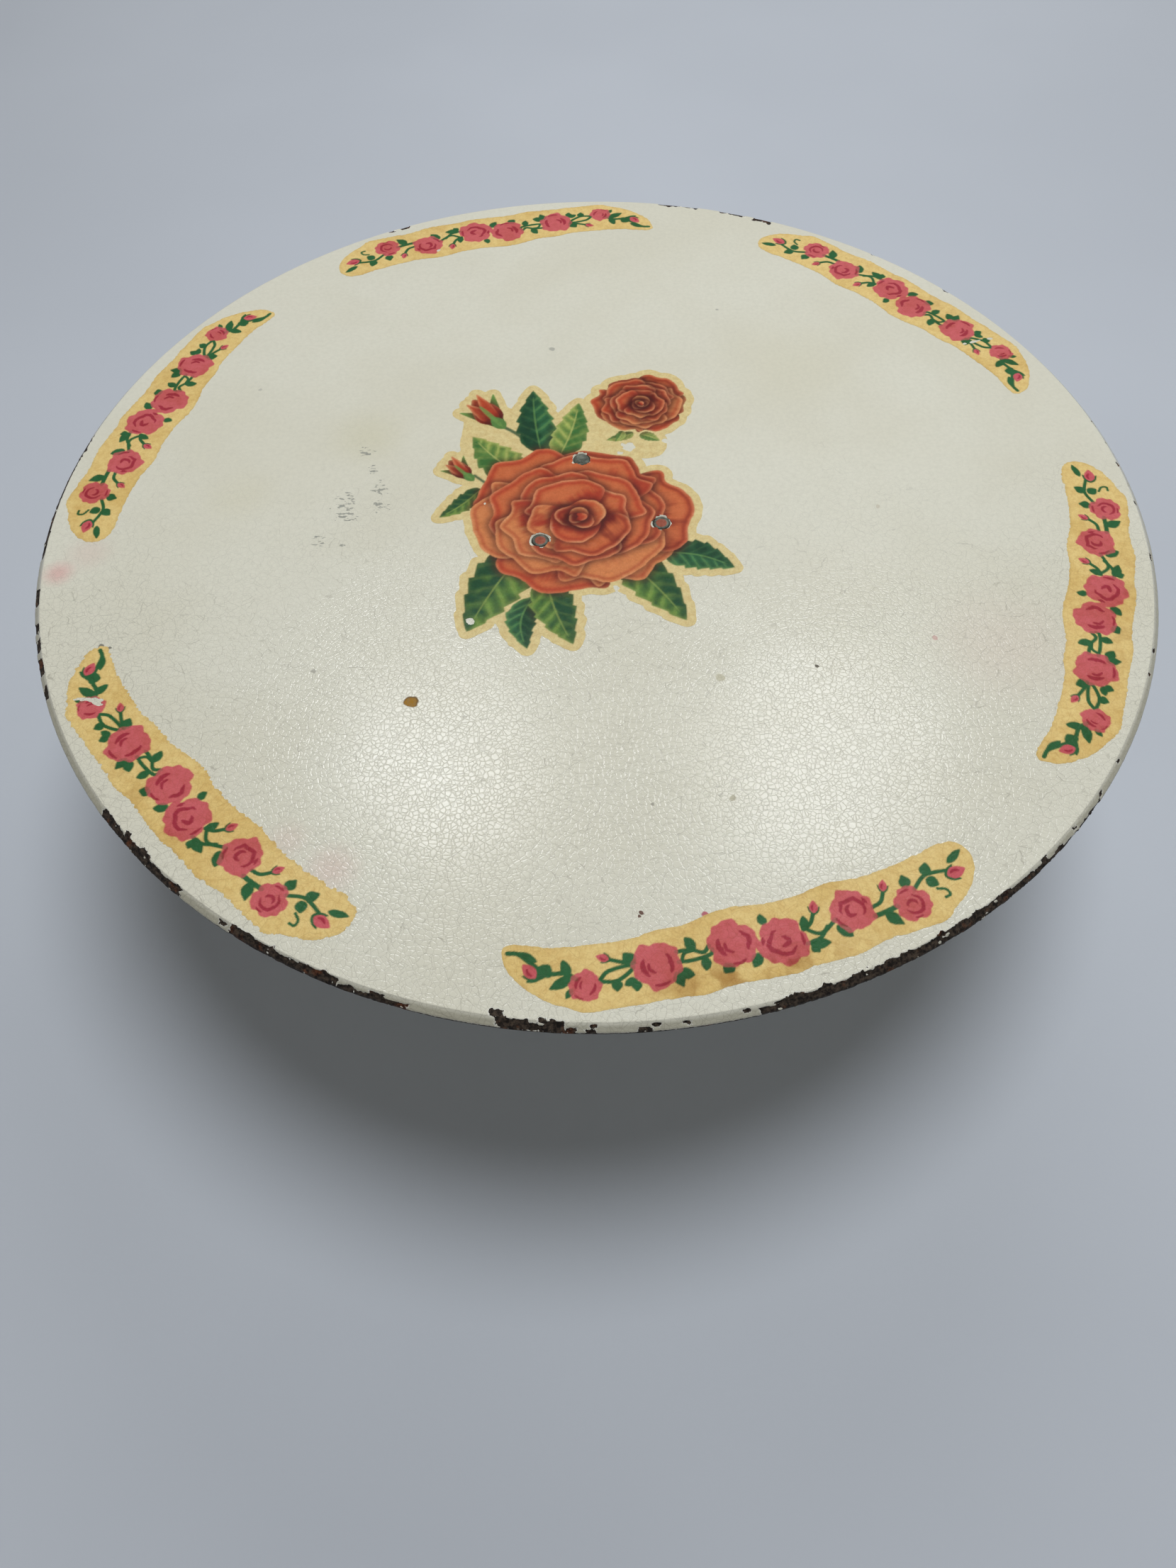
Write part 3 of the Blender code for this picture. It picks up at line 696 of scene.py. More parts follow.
def loop(points, per_span=8):
    """A smooth closed curve through the points."""
    points = np.array(points, float)
    return spline(*[np.roll(points, shift, 0) for shift in (1, 0, -1, -2)], per_span)


def line(points, per_span=8):
    """A smooth open curve through the points."""
    points = np.array(points, float)
    padded = np.vstack([2 * points[0] - points[1], points, 2 * points[-1] - points[-2]])
    return np.vstack([spline(padded[:-3], padded[1:-2], padded[2:-1], padded[3:], per_span), points[-1]])


def heading(degrees):
    """The unit vector at an angle anticlockwise from +X."""
    return np.array([math.cos(math.radians(degrees)), math.sin(math.radians(degrees))])


def quarter_turn(way):
    return np.array([-way[1], way[0]])


def bell(value, width):
    return np.exp(-((value / width) ** 2))


def toward(colour, target, amount):
    return colour + (target - colour) * amount[:, None]


def segment_distance(x, y, start, end):
    """(distance to each segment, how far along it the nearest point is), one row per place."""
    px, py = x[:, None] - start[:, 0], y[:, None] - start[:, 1]
    dx, dy = end[:, 0] - start[:, 0], end[:, 1] - start[:, 1]
    t = np.clip((px * dx + py * dy) / np.maximum(dx * dx + dy * dy, 1e-12), 0, 1)
    return np.hypot(px - t * dx, py - t * dy), t


def inside_distance(x, y, curve):
    """Distance to a closed curve, positive inside it."""
    start, end = curve, np.roll(curve, -1, 0)
    away, _ = segment_distance(x, y, start, end)
    crosses = (start[:, 1] > y[:, None]) != (end[:, 1] > y[:, None])
    span = np.where(end[:, 1] == start[:, 1], 1e-12, end[:, 1] - start[:, 1])
    meet = (end[:, 0] - start[:, 0]) * (y[:, None] - start[:, 1]) / span + start[:, 0]
    inside = np.sum(crosses & (x[:, None] < meet), 1) % 2 == 1
    return np.where(inside, 1, -1) * away.min(1)


def wavy(curve, amount, size=3.0):
    """A closed curve with its edge moved in and out a little, as a brush leaves it."""
    away = curve - curve.mean(0)
    push = (fractal(curve[:, 0], curve[:, 1], size, 5, 3) - 0.5) * 2 * amount
    return curve + away / np.hypot(*away.T)[:, None] * push[:, None]


class Canvas:
    """Paint on a grid of places, in mm. film is how far inside the painted shapes each place is."""

    def __init__(self, x, y, ground):
        self.x, self.y = x, y
        self.colour = np.tile(ground, (len(x), 1))
        self.film = np.full(len(x), -99.0)

    def near(self, low, high, margin):
        keep = (self.x > low[0] - margin) & (self.x < high[0] + margin)
        return np.flatnonzero(keep & (self.y > low[1] - margin) & (self.y < high[1] + margin))

    def lay(self, places, cover, colour):
        cover = cover[:, None]
        self.colour[places] = self.colour[places] * (1 - cover) + colour * cover

    def shape(self, curve, shade, opacity=1.0, shadow=0.0, soft=0.12):
        """Fills a closed curve; shade(x, y, depth inside) gives its colours. Its shadow falls around it."""
        places = self.near(curve.min(0), curve.max(0), 4.0)
        x, y = self.x[places], self.y[places]
        depth = inside_distance(x, y, curve)
        self.film[places] = np.maximum(self.film[places], depth)
        if shadow:
            dark = shadow * bell(np.minimum(depth, 0), SHADOW_REACH) * (depth < 0)
            dark = np.where(self.film[places] > 0.0, dark, 0)
            self.lay(places, dark, tone("4c1510"))
        self.lay(places, opacity * smooth(depth, -soft, soft), shade(x, y, np.maximum(depth, 0)))

    def stroke(self, curve, width, colour, opacity=1.0, taper=True, soft=0.12):
        """Draws along an open curve, thinning to its ends if taper is set."""
        places = self.near(curve.min(0), curve.max(0), width + 2.5)
        away, t = segment_distance(self.x[places], self.y[places], curve[:-1], curve[1:])
        nearest = away.argmin(1)
        rows = np.arange(len(places))
        share = (nearest + t[rows, nearest]) / (len(curve) - 1)
        half = width / 2 * (np.sqrt(np.clip(4 * share * (1 - share), 0, 1)) if taper else 1.0)
        depth = half - away[rows, nearest]
        self.lay(places, opacity * smooth(depth, -soft, soft), colour)


def film_mesh(name, x, y, keep_depth, step, shape, to_world, colours, material):
    """Turns the grid places inside the film's edge into a thin sheet with a skirt, edge snapped smooth."""
    rows, columns = shape
    index = np.arange(rows * columns).reshape(rows, columns)
    depth = keep_depth.reshape(rows, columns)
    used = depth > -0.45 * step
    whole = used[:-1, :-1] & used[1:, :-1] & used[:-1, 1:] & used[1:, 1:]
    corners = [index[:-1, :-1], index[:-1, 1:], index[1:, 1:], index[1:, :-1]]
    quads = np.stack([c[whole] for c in corners], -1)
    slope_y, slope_x = np.gradient(depth, step)
    steep = np.maximum(np.hypot(slope_x, slope_y), 0.3)
    counts = np.bincount(quads.ravel(), minlength=rows * columns).reshape(rows, columns)
    at_edge = (counts > 0) & (counts < 4)
    pull = np.where(at_edge, np.clip(depth, -step, step) / steep ** 2, 0)
    px = (x.reshape(rows, columns) - pull * slope_x).ravel()
    py = (y.reshape(rows, columns) - pull * slope_y).ravel()
    kept = np.flatnonzero(counts.ravel() > 0)
    new_index = np.full(rows * columns, -1)
    new_index[kept] = np.arange(len(kept))
    quads = new_index[quads]
    top = to_world(px[kept], py[kept])
    edges = np.concatenate([quads[:, [0, 1]], quads[:, [1, 2]], quads[:, [2, 3]], quads[:, [3, 0]]])
    keys = np.sort(edges, 1)
    _, first, found = np.unique(keys, axis=0, return_index=True, return_counts=True)
    border = edges[first[found == 1]]
    rim = np.unique(border)
    low_index = np.full(len(kept), -1)
    low_index[rim] = len(kept) + np.arange(len(rim))
    low = top[rim] - np.array([0, 0, 1.6 * FILM])
    skirt = np.stack([border[:, 1], border[:, 0], low_index[border[:, 0]], low_index[border[:, 1]]], -1)
    piece = make_object(name, np.vstack([top, low]), np.vstack([quads, skirt]), material)
    store_colours(piece, "paint", np.vstack([colours[kept], colours[kept][rim]]))
    return finish_piece(piece, "turntable", "plate_enamel")


def film_top(x, y):
    """Height of the film over the enamel at plate places in metres."""
    return ENAMEL_TOP + 0.8 * FILM + unevenness(x, y) + blisters(x, y)


# ---------------------------------------------------------------- garlands

GARLANDS = (-76.2, -136.3, 161.7, 103.8, 42.4, -16.6)
GARLAND_RADIUS = 137.0
GARLAND_STEP = 0.24
GARLAND_BACK = "f3d68e"
ROSE = "d9636d"
ROSE_DARK = "a8283f"
LEAF = "2d6a3e"
SHOW_THROUGH = 0.30

# Outline of the backing film, mm along the rim and mm inwards
GARLAND_OUTLINE = (
    (-53.6, 11.8), (-51, 12.7), (-47, 11.4), (-42, 9.6), (-34, 8.4), (-27, 7.7), (-20, 8.1),
    (-14, 7.8), (-8, 9), (-1, 9.2), (6, 8.1), (13, 8.4), (20, 9.6), (27, 9), (34, 9.7),
    (42, 11.2), (48, 12.4), (52, 11.8), (54, 8.6), (53, 4), (50.5, 0.4), (46, -2.8),
    (42, -5.6), (35, -6.4), (28, -6.6), (20, -8.4), (12, -8.3), (5, -9), (-3, -8.4),
    (-9, -8.2), (-14, -8.7), (-20, -7.9), (-27, -7.4), (-34, -6.8), (-40, -6), (-44, -3.6),
    (-48, -0.8), (-51, 2.8), (-53.5, 7.4),
)
# Dark strokes on a rose: reach, start and end in degrees, width; lengths as shares of its radius
OPEN_STROKES = (
    (0.55, 142, 226, 0.22), (0.30, 150, 250, 0.15), (0.60, 318, 400, 0.20), (0.82, 250, 292, 0.13),
)
SPIRAL_STROKES = (
    (0.52, 70, 300, 0.20), (0.22, 200, 420, 0.20), (0.80, 300, 345, 0.14), (0.78, 118, 150, 0.13),
)
# Roses: along, inwards, radius, turn of the drawing in degrees, strokes
GARLAND_ROSES = (
    (-38.1, -0.4, 3.6, -40, OPEN_STROKES),
    (-22.1, 0.3, 5.5, 0, OPEN_STROKES),
    (-4.9, 1, 5.6, 5, OPEN_STROKES),
    (5.8, -1.4, 5.7, 30, SPIRAL_STROKES),
    (22.9, 1.8, 5.1, 250, SPIRAL_STROKES),
    (36.5, 0, 4.3, 140, SPIRAL_STROKES),
)
# Buds: along, inwards, direction of the tip in degrees, length
GARLAND_BUDS = (
    (-48.7, 5.6, 118, 4.4),
    (-32.8, 4.8, 150, 3),
    (15, 4.6, 75, 3.2),
    (31.7, 5.6, 70, 3),
    (48.7, 4.8, 10, 4.8),
)
# Leaves: base (along, inwards), tip (along, inwards), width
GARLAND_LEAVES = (
    (-41, 2.4, -41.3, 6.6, 1.9), (-40.4, 2, -45.6, 0.8, 1.9), (-40.8, -0.4, -42.8, -2.2, 1.2),
    (-26.6, 1.8, -28.4, 4.8, 2.2), (-31.2, -0.8, -31.8, -3.4, 1.9), (-26.8, -1.6, -30, -2.4, 1.6),
    (-27.2, -1.8, -27.8, -4.4, 2), (-18.6, -2.2, -17.9, -5.8, 1.9), (-18.2, -2.2, -14.8, -4, 2),
    (-13.2, 1.6, -14.6, 5, 2), (-11.4, -0.4, -12.2, -3.6, 1.9), (-6.4, -3.4, -8.6, -5.2, 2),
    (0.2, -2.6, -2.2, -5.6, 2.1), (3, 3.2, 3, 6.2, 1.7), (11.4, 0, 12, 3.2, 1.8),
    (11.2, -3.4, 15.8, -4.2, 2.1), (11.4, -3.8, 12.8, -5.8, 1.7), (18.4, -0.8, 21, -4.2, 2.1),
    (29.6, -0.6, 32.8, -4.2, 2.1), (36.8, 3.8, 36.8, 7.2, 2.2), (41.8, 5.6, 43.2, 8.7, 2.1),
    (41.6, 4.8, 44, 2.8, 2.1), (48, 7.5, 52.2, 9.9, 1.5), (-46.8, 7.6, -50.4, 10.8, 1.4),
    (-46.6, 6.4, -44.6, 3.4, 2.8), (-50, 3.6, -45.2, 4, 1.2),
)
# Stems: width, then points (along, inwards)
GARLAND_STEMS = (
    (0.8, (-52.4, 11), (-50.2, 10.2), (-48, 7.4), (-45.4, 4.4), (-41.6, 3.4), (-39.6, 1.6)),
    (0.7, (-34.6, 0.2), (-32.4, 1.6), (-27.6, 1.7), (-27.6, 0.6), (-31.2, -1), (-34.4, -0.4)),
    (0.7, (-31.4, 4), (-29, 2.8), (-26.6, 2)),
    (0.7, (-17.2, 2.2), (-14, 1.8), (-11.6, 0.6), (-10, 1.8)),
    (0.7, (-17.4, -0.2), (-14, -0.6), (-10.2, -0.2), (-9.6, 0.8)),
    (0.6, (-16.6, 0), (-15.6, 1.4), (-13.4, 1.6)),
    (0.7, (14.6, 3.6), (13, 1.2), (11, 0.2)),
    (0.7, (11, 0.6), (14.4, -1.6), (18.6, 0.6)),
    (0.7, (10.8, -3.2), (14, -2.6), (16.4, -0.4)),
    (0.7, (27.6, 1.4), (29.8, 2.2), (31.4, 4.6)),
    (0.9, (27.4, -0.8), (30, -0.4), (33, 0.2)),
    (0.7, (38.2, 3.2), (41.8, 5.8), (46.6, 5.8)),
    (0.5, (43.2, 2), (45, 1.4), (45.4, 0), (44.2, -0.4)),
)


def plain(code):
    colour = tone(code)
    return lambda x, y, depth: colour


def spine(base, tip, bend, steps):
    """(points from base to tip, bowed sideways by bend, the unit vector sideways, shares of the way)."""
    base, tip = np.array(base, float), np.array(tip, float)
    along = tip - base
    across = quarter_turn(along) / np.hypot(*along)
    t = np.linspace(0, 1, steps)[:, None]
    return base + along * t + across * bend * np.sin(math.pi * t), across, t


def blade(middle, across, half):
    """A closed outline, half wide on each side of its middle line."""
    return np.vstack([middle + across * half, (middle - across * half)[-2:0:-1]])


def lens(base, tip, width, bend=0.0, steps=7):
    """A leaf outline: a point at each end and its middle moved sideways by bend."""
    middle, across, t = spine(base, tip, bend, steps)
    return blade(middle, across, width / 2 * np.sin(math.pi * t ** 0.85) ** 0.8)


def ragged_flower(x, y, radius, turn):
    """A printed flower's uneven, lobed outline."""
    angle = np.linspace(0, 2 * math.pi, 64, endpoint=False)
    waves = ((3, 0.040, 1), (5, 0.045, -2), (8, 0.045, 3), (13, 0.030, 5))
    r = radius * (0.98 + sum(size * np.cos(count * angle + shift * turn) for count, size, shift in waves))
    return np.stack([x + r * np.cos(angle), y + r * np.sin(angle)], -1)


def ring_arc(x, y, radius, start, end):
    angle = np.radians(np.linspace(start, end, 12))
    return np.stack([x + radius * np.cos(angle), y + radius * np.sin(angle)], -1)


def paint_small_rose(canvas, x, y, radius, turn, strokes):
    """A flat printed rose: one pink shape with darker petal strokes."""
    canvas.shape(ragged_flower(x, y, radius, 1 + math.radians(turn) + 0.1 * x), plain(ROSE), opacity=0.97)
    dark = tone(ROSE_DARK)
    for reach, start, end, width in strokes:
        curve = wavy(ring_arc(x, y, reach * radius, start + turn, end + turn), 0.12 * radius, 1.4)
        canvas.stroke(curve, width * radius, dark, 0.9)


def paint_small_bud(canvas, x, y, turn, length):
    way = heading(turn)
    side = quarter_turn(way)
    middle = np.array([x, y])
    foot = middle - way * length * 0.55
    for swing in (-0.42, 0.42):
        tip = middle + side * swing * length + way * 0.1 * length
        canvas.shape(loop(lens(foot, tip, 0.30 * length)), plain(LEAF))
    head = lens(middle - way * length * 0.42, middle + way * length * 0.55, 0.62 * length)
    canvas.shape(loop(head), plain(ROSE))
    start = middle - way * 0.25 * length + side * 0.06 * length
    stroke = [start, middle + side * 0.12 * length, middle + way * 0.25 * length]
    canvas.stroke(line(stroke), 0.16 * length, tone(ROSE_DARK), 0.9)


def garland_grid():
    outline = np.array(GARLAND_OUTLINE)
    low, high = outline.min(0) - 1, outline.max(0) + 1
    xs = np.arange(low[0], high[0], GARLAND_STEP)
    ys = np.arange(low[1], high[1], GARLAND_STEP)
    x, y = np.meshgrid(xs, ys)
    return x.ravel(), y.ravel(), x.shape


def paint_garland_green(canvas, opacity):
    for width, *points in GARLAND_STEMS:
        canvas.stroke(line(points), 1.35 * width, tone(LEAF), opacity, taper=False)
    for bx, by, tx, ty, width in GARLAND_LEAVES:
        outline = wavy(loop(lens((bx, by), (tx, ty), 1.3 * width)), 0.25, 1.5)
        canvas.shape(outline, plain(LEAF), opacity, soft=0.15)


def paint_garland(x, y):
    """The printed garland, the same on all six: (colours, distance inside the film's edge)."""
    canvas = Canvas(x, y, tone(GARLAND_BACK))
    paint_garland_green(canvas, 1.0)
    for place in GARLAND_ROSES:
        paint_small_rose(canvas, *place)
    paint_garland_green(canvas, SHOW_THROUGH)
    for place in GARLAND_BUDS:
        paint_small_bud(canvas, *place)
    edge = inside_distance(x, y, loop(GARLAND_OUTLINE, 5)) + 0.5 * (fractal(x, y, 2.5, 31) - 0.5)
    worn = smooth(edge, 0.0, 0.7)[:, None]
    colours = canvas.colour * (0.90 + 0.10 * worn)
    return colours, edge


# Per garland: brown stain strength, how frayed the edge is in mm, then torn places
# (along, inwards, half length, half width, lean in degrees)
GARLAND_WEAR = (
    (0.9, 0.3, ()),
    (0.25, 1.3, ((-40.2, 0.9, 3.8, 0.7, 42), (-38.4, 1.4, 1.6, 0.6, 20))),
    (0.15, 0.6, ()),
    (0.15, 0.5, ((20, 5.5, 0.8, 0.4, 30),)),
    (0.2, 0.5, ((-29.6, 0.6, 4.4, 0.5, 65), (-31.4, -3.2, 1, 0.5, 40))),
    (0.3, 0.6, ()),
)


def wear_garland(x, y, colours, edge, number):
    """Gives one garland its own stains, mottling and tears."""
    stain, fray, tears = GARLAND_WEAR[number]
    edge = edge + fray * (fractal(1.6 * x, 0.7 * y, 1.1, 45 + number, 3) - 0.5)
    mottle = smooth(fractal(x, y, 9, 41 + number), 0.45, 0.8)[:, None]
    colours = colours * (1 - 0.16 * mottle * np.array([0.5, 0.8, 1.4]))
    spill = np.exp(-(((x + 3) / 20) ** 2) - ((y + 6.4) / 2.8) ** 2)
    spill = spill * smooth(fractal(x, y, 4.5, 51, 4), 0.40, 0.62)
    amount = (stain * np.clip(0.9 * spill, 0, 1))[:, None]
    colours = colours * (1 - amount * (1 - tone("b5833a") / tone(GARLAND_BACK)))
    for tx, ty, half_long, half_wide, lean in tears:
        a = math.radians(lean)
        u = (x - tx) * math.cos(a) + (y - ty) * math.sin(a)
        v = -(x - tx) * math.sin(a) + (y - ty) * math.cos(a)
        ring = (np.hypot(u / half_long, v / half_wide) - 1) * half_wide
        edge = np.minimum(edge, ring + 1.1 * (fractal(x, y, 1.4, 61) - 0.5))
    return colours, edge


def make_garlands(material):
    x, y, shape = garland_grid()
    colours, edge = paint_garland(x, y)
    for number, middle in enumerate(GARLANDS):
        a = math.radians(middle)
        own_colours, own_edge = wear_garland(x, y, colours, edge, number)

        def to_world(px, py, a=a):
            r = (GARLAND_RADIUS - py) * MM
            wx = r * math.cos(a) - px * MM * math.sin(a)
            wy = r * math.sin(a) + px * MM * math.cos(a)
            return np.stack([wx, wy, film_top(wx, wy)], -1)

        name = f"garland_{number + 1}"
        film_mesh(name, x, y, own_edge, GARLAND_STEP, shape, to_world, own_colours, material)


# ---------------------------------------------------------------- spray in the middle

SPRAY_STEP = 0.24
SPRAY_HALO = 2.3
SPRAY_BACK = "e8d59a"
DEEP = "751a0e"
RED = "b0371c"
CORAL = "cb542c"
PEACH = "dd8850"
LIGHT = "e8a878"
STEM = "2c5a38"


def petal(canvas, points, lip, base=RED, glow=CORAL, rim_strength=0.7, shadow=0.55, light=0.5):
    """A painted petal: deep at its foot, lit in soft patches, with a pale rolled rim on the lip's side.
    lip is the way the petal opens, in degrees."""
    curve = wavy(loop(points), 0.45)
    way = heading(lip)
    reach = curve @ way
    low, high = reach.min(), reach.max()
    middle = curve.mean(0)

    def shade(x, y, depth):
        along = (x * way[0] + y * way[1] - low) / (high - low)
        across = -(x - middle[0]) * way[1] + (y - middle[1]) * way[0]
        veins = fractal(across * 1.5, along * 3.0, 2.0, 71, 3) - 0.5
        cloud = fractal(x, y, 6.5, 72, 3) - 0.5
        t = along + 0.35 * veins + 0.75 * cloud
        crease = 0.5 * bell(depth - 1.3, 0.6) * smooth(along, 0.35, 0.8)
        cheek = light * smooth(t, 0.50, 0.85) * smooth(depth, 1.0, 3.2)
        edge = 0.8 * rim_strength * bell(depth, 0.6) * smooth(along, 0.30, 0.75)
        edge = edge * (0.2 + 1.3 * fractal(x, y, 4.0, 74, 2))
        colour = tone(DEEP)[None, :] * np.ones((len(x), 1))
        body = ((smooth(t, 0.02, 0.42), base), (smooth(t, 0.42, 0.85), glow))
        for amount, code in body + ((cheek, PEACH), (crease, base), (edge, LIGHT)):
            colour = toward(colour, tone(code), amount)
        return colour

    canvas.shape(curve, shade, shadow=shadow, soft=0.18)


def serrated_leaf(base, tip, width, bend, teeth=6, steps=36):
    """A rose leaf's outline with forward teeth; also its midrib."""
    middle, across, t = spine(base, tip, bend, steps)
    saw = (t * teeth) % 1.0
    half = width / 2 * np.sin(math.pi * t ** 0.72) ** 0.8 * (1 - 0.20 * saw * smooth(t, 0.1, 0.3))
    return wavy(blade(middle, across, half), 0.35), middle


def leaf(canvas, base, tip, width, bend=0.0, dark="184d2d", light="70993f", vein="98b058", lit_side=1):
    """A painted leaf: one half lit and one in shade, with slanting streaks and a pale midrib."""
    outline, rib = serrated_leaf(base, tip, width, bend)
    base, tip = np.array(base, float), np.array(tip, float)
    length = np.hypot(*(tip - base))
    way = (tip - base) / length
    dark_tone, light_tone, vein_tone = tone(dark), tone(light), tone(vein)

    def shade(x, y, depth):
        s = (x - base[0]) * way[0] + (y - base[1]) * way[1]
        bow = bend * np.sin(math.pi * np.clip(s / length, 0, 1))
        h = -(x - base[0]) * way[1] + (y - base[1]) * way[0] - bow
        slant = (s - 0.9 * np.abs(h)) / length * 6.0 + 0.30 * (fractal(x, y, 3.5, 83, 2) - 0.5)
        rhythm = 0.5 + 0.5 * np.cos(2 * math.pi * slant)
        lit = smooth(lit_side * h / width, -0.08, 0.14)
        mottled = fractal(x, y, 2.4, 81, 3) - 0.5
        ribs = 0.55 * rhythm * (0.25 + 0.75 * lit) * smooth(depth, -1.0, 2.5)
        amount = 0.02 + 0.34 * lit + ribs + 0.7 * mottled
        colour = dark_tone + (light_tone - dark_tone) * np.clip(amount, 0, 1)[:, None]
        streak = 0.34 * smooth(rhythm, 0.70, 1.0) * smooth(depth, 0.2, 1.0) * (0.25 + 0.75 * lit)
        edge = 0.60 * bell(depth, 0.7) * (0.25 + 0.75 * lit)
        return toward(toward(colour, vein_tone, streak), vein_tone, edge)

    canvas.shape(outline, shade, shadow=0.30, soft=0.22)
    canvas.stroke(rib[1:-4], 0.5, vein_tone, 0.6, soft=0.2)


# Petals of a bud, as shares of its length: across, start, end, width; then a turn in degrees
BUD_PETALS = ((0, -0.44, 0.46, 0.52, 0), (0.16, -0.40, 0.40, 0.26, 25), (-0.15, -0.42, 0.52, 0.24, -15))


def rose_bud(canvas, x, y, turn, length):
    """A half-open bud with green sepals."""
    way = heading(turn)
    side = quarter_turn(way)
    middle = np.array([x, y])
    foot = middle - way * 0.52 * length
    for swing, reach in ((-0.40, 0.34), (0.40, 0.30), (-0.20, 0.05), (0.24, 0.0)):
        tip = middle + side * swing * length + way * reach * length
        outline = loop(lens(foot, tip, 0.20 * length, bend=-swing * 2))
        canvas.shape(outline, plain("6f9a4c"), shadow=0.2, soft=0.2)
    for across, start, end, width, turned in BUD_PETALS:
        shift = side * across * length
        body = lens(middle + way * start * length, middle + shift + way * end * length, width * length)
        petal(canvas, body, turn + turned, rim_strength=0.8, shadow=0.5)
    knob = lens(foot - way * 0.06 * length, middle - way * 0.16 * length, 0.26 * length)
    canvas.shape(loop(knob), plain("5c8a44"), shadow=0.3, soft=0.2)
    canvas.stroke(line((foot, middle + way * 0.22 * length)), 0.10 * length, tone("6f9a4c"), 0.8, soft=0.2)


def turned_points(points, centre, turn, scale):
    a = math.radians(turn)
    x, y = (np.array(points, float) * scale).T
    turned = [x * math.cos(a) - y * math.sin(a), x * math.sin(a) + y * math.cos(a)]
    return np.stack([centre[0] + turned[0], centre[1] + turned[1]], -1)


# A cupped petal facing +X, about one unit long, its rolled lip on the outer side
CUPPED = (
    (-0.55, -0.62), (0.15, -0.80), (0.78, -0.46), (1.0, 0.06),
    (0.80, 0.56), (0.16, 0.82), (-0.55, 0.60), (-0.30, 0.0),
)


def rose_heart(canvas, x, y, size, turn, squash, rings=7):
    """Nested petals that spiral in to the middle of a rose."""
    centre = np.array([x, y])
    for i in range(rings):
        scale = size * 0.78 ** i
        way = turn + 137.5 * i
        offset = 0.16 * scale * heading(way)
        points = turned_points(CUPPED, centre + offset, way, scale * 0.72)
        points[:, 1] = centre[1] + (points[:, 1] - centre[1]) * squash
        base, glow = ((RED, CORAL), (CORAL, PEACH), (DEEP, RED))[i % 3]
        petal(canvas, points, way, base, glow, rim_strength=0.85, shadow=0.6, light=0.2)


COOL = {"dark": "10432a", "light": "37784a", "vein": "6fa258"}
WARM = {"dark": "3f7636", "light": "a3b659", "vein": "c9cf78"}
# Leaves of the spray: base, tip, width, bend, lit side, colours
SPRAY_LEAVES = (
    ((-15, 22), (-17.8, 49.6), 12.4, 0.6, -1, COOL),
    ((-9.8, 20.5), (-4, 43.5), 11, -0.8, 1, WARM),
    ((-19.5, 12), (-35.2, 29.2), 13.5, 1, -1, WARM),
    ((-32, 7.5), (-43, -3.4), 7.2, 0.8, 1, {}),
    ((-18, -15), (-33.8, -45), 17.5, -1, 1, {}),
    ((-16.4, -33), (-18, -51), 9.2, -2.6, -1, COOL),
    ((-13.5, -26), (-6.2, -49.6), 12.6, -1, -1, {}),
    ((5, -17.5), (23.4, -42.2), 14, 1.2, -1, {}),
    ((19, -18), (37.2, -23.8), 11.4, 1.6, -1, COOL),
)

# Whorls of a full rose from the outside inwards: petals, share of its radius, and half the
# spread of one petal in degrees
WHORLS = ((6, 1, 38), (5, 0.84, 46), (5, 0.66, 50), (4, 0.50, 60))


def broad_petal(way, length, spread, squash):
    """Points of one broad petal with a waved lip, opening away from the flower's middle at (0, 0)."""
    t = np.linspace(-1, 1, 7)
    angle = np.radians(way + spread * t)
    reach = length * (1 - 0.15 * t ** 2 + 0.05 * np.sin(2.6 * math.pi * t + math.radians(3 * way)))
    foot = np.radians(np.array([way + 110, way + 180, way - 110]))
    x = np.concatenate([reach * np.cos(angle), 0.22 * length * np.cos(foot)])
    y = np.concatenate([reach * np.sin(angle), 0.22 * length * np.sin(foot)])
    return np.stack([x, squash * y], -1)


def full_rose(canvas, x, y, size, turn, squash=0.94):
    """A generic open rose: whorls of broad petals by formula, with nested petals in the middle."""
    pairs = ((RED, CORAL), (RED, PEACH), (DEEP, CORAL), (RED, CORAL))
    for row, (count, share, spread) in enumerate(WHORLS):
        for i in range(count):
            way = turn + 47 * row + 360 * i / count + 7 * math.sin(2.1 * i + row)
            length = size * share * (1 + 0.06 * math.sin(3.7 * i + 1.3 * row))
            base, glow = pairs[(i + row) % len(pairs)]
            points = np.array([x, y]) + broad_petal(way, length, spread, squash)
            petal(canvas, points, way, base, glow, rim_strength=0.55 + 0.08 * row, light=0.45)
    rose_heart(canvas, x, y, 0.40 * size, turn, squash)


# Torn places of the spray's film, in mm: x, y, radius
SPRAY_TEARS = ((10.2, 24.0, 1.9), (8.2, 21.6, 0.9), (-32.8, -41.2, 1.2), (5.6, -30.8, 1.1), (21.0, 26.6, 0.9))
# Stems: width, then points
SPRAY_STEMS = (
    (0.9, (-24, 2), (-30, 9), (-34, 13)),
    (2.4, (-13, -24), (-13, -30), (-17, -35), (-22, -38.5)),
    (1.2, (-27, 34), (-22, 30), (-17, 24)),
)
# Open film between the buds and leaves
SPRAY_FILL = (
    (-38, 14), (-37, 42), (-28, 43), (-18, 38), (-6, 35), (2, 38),
    (6, 33), (20, 30), (19, 20), (2, 20), (-14, 18), (-28, 8),
)
# Small leaves below the upper rose: base, tip, width
SMALL_LEAVES = (((12, 30), (3.8, 27), 3.6), ((14, 29.4), (19.4, 26.6), 4), ((9, 31), (6.6, 26.4), 3))


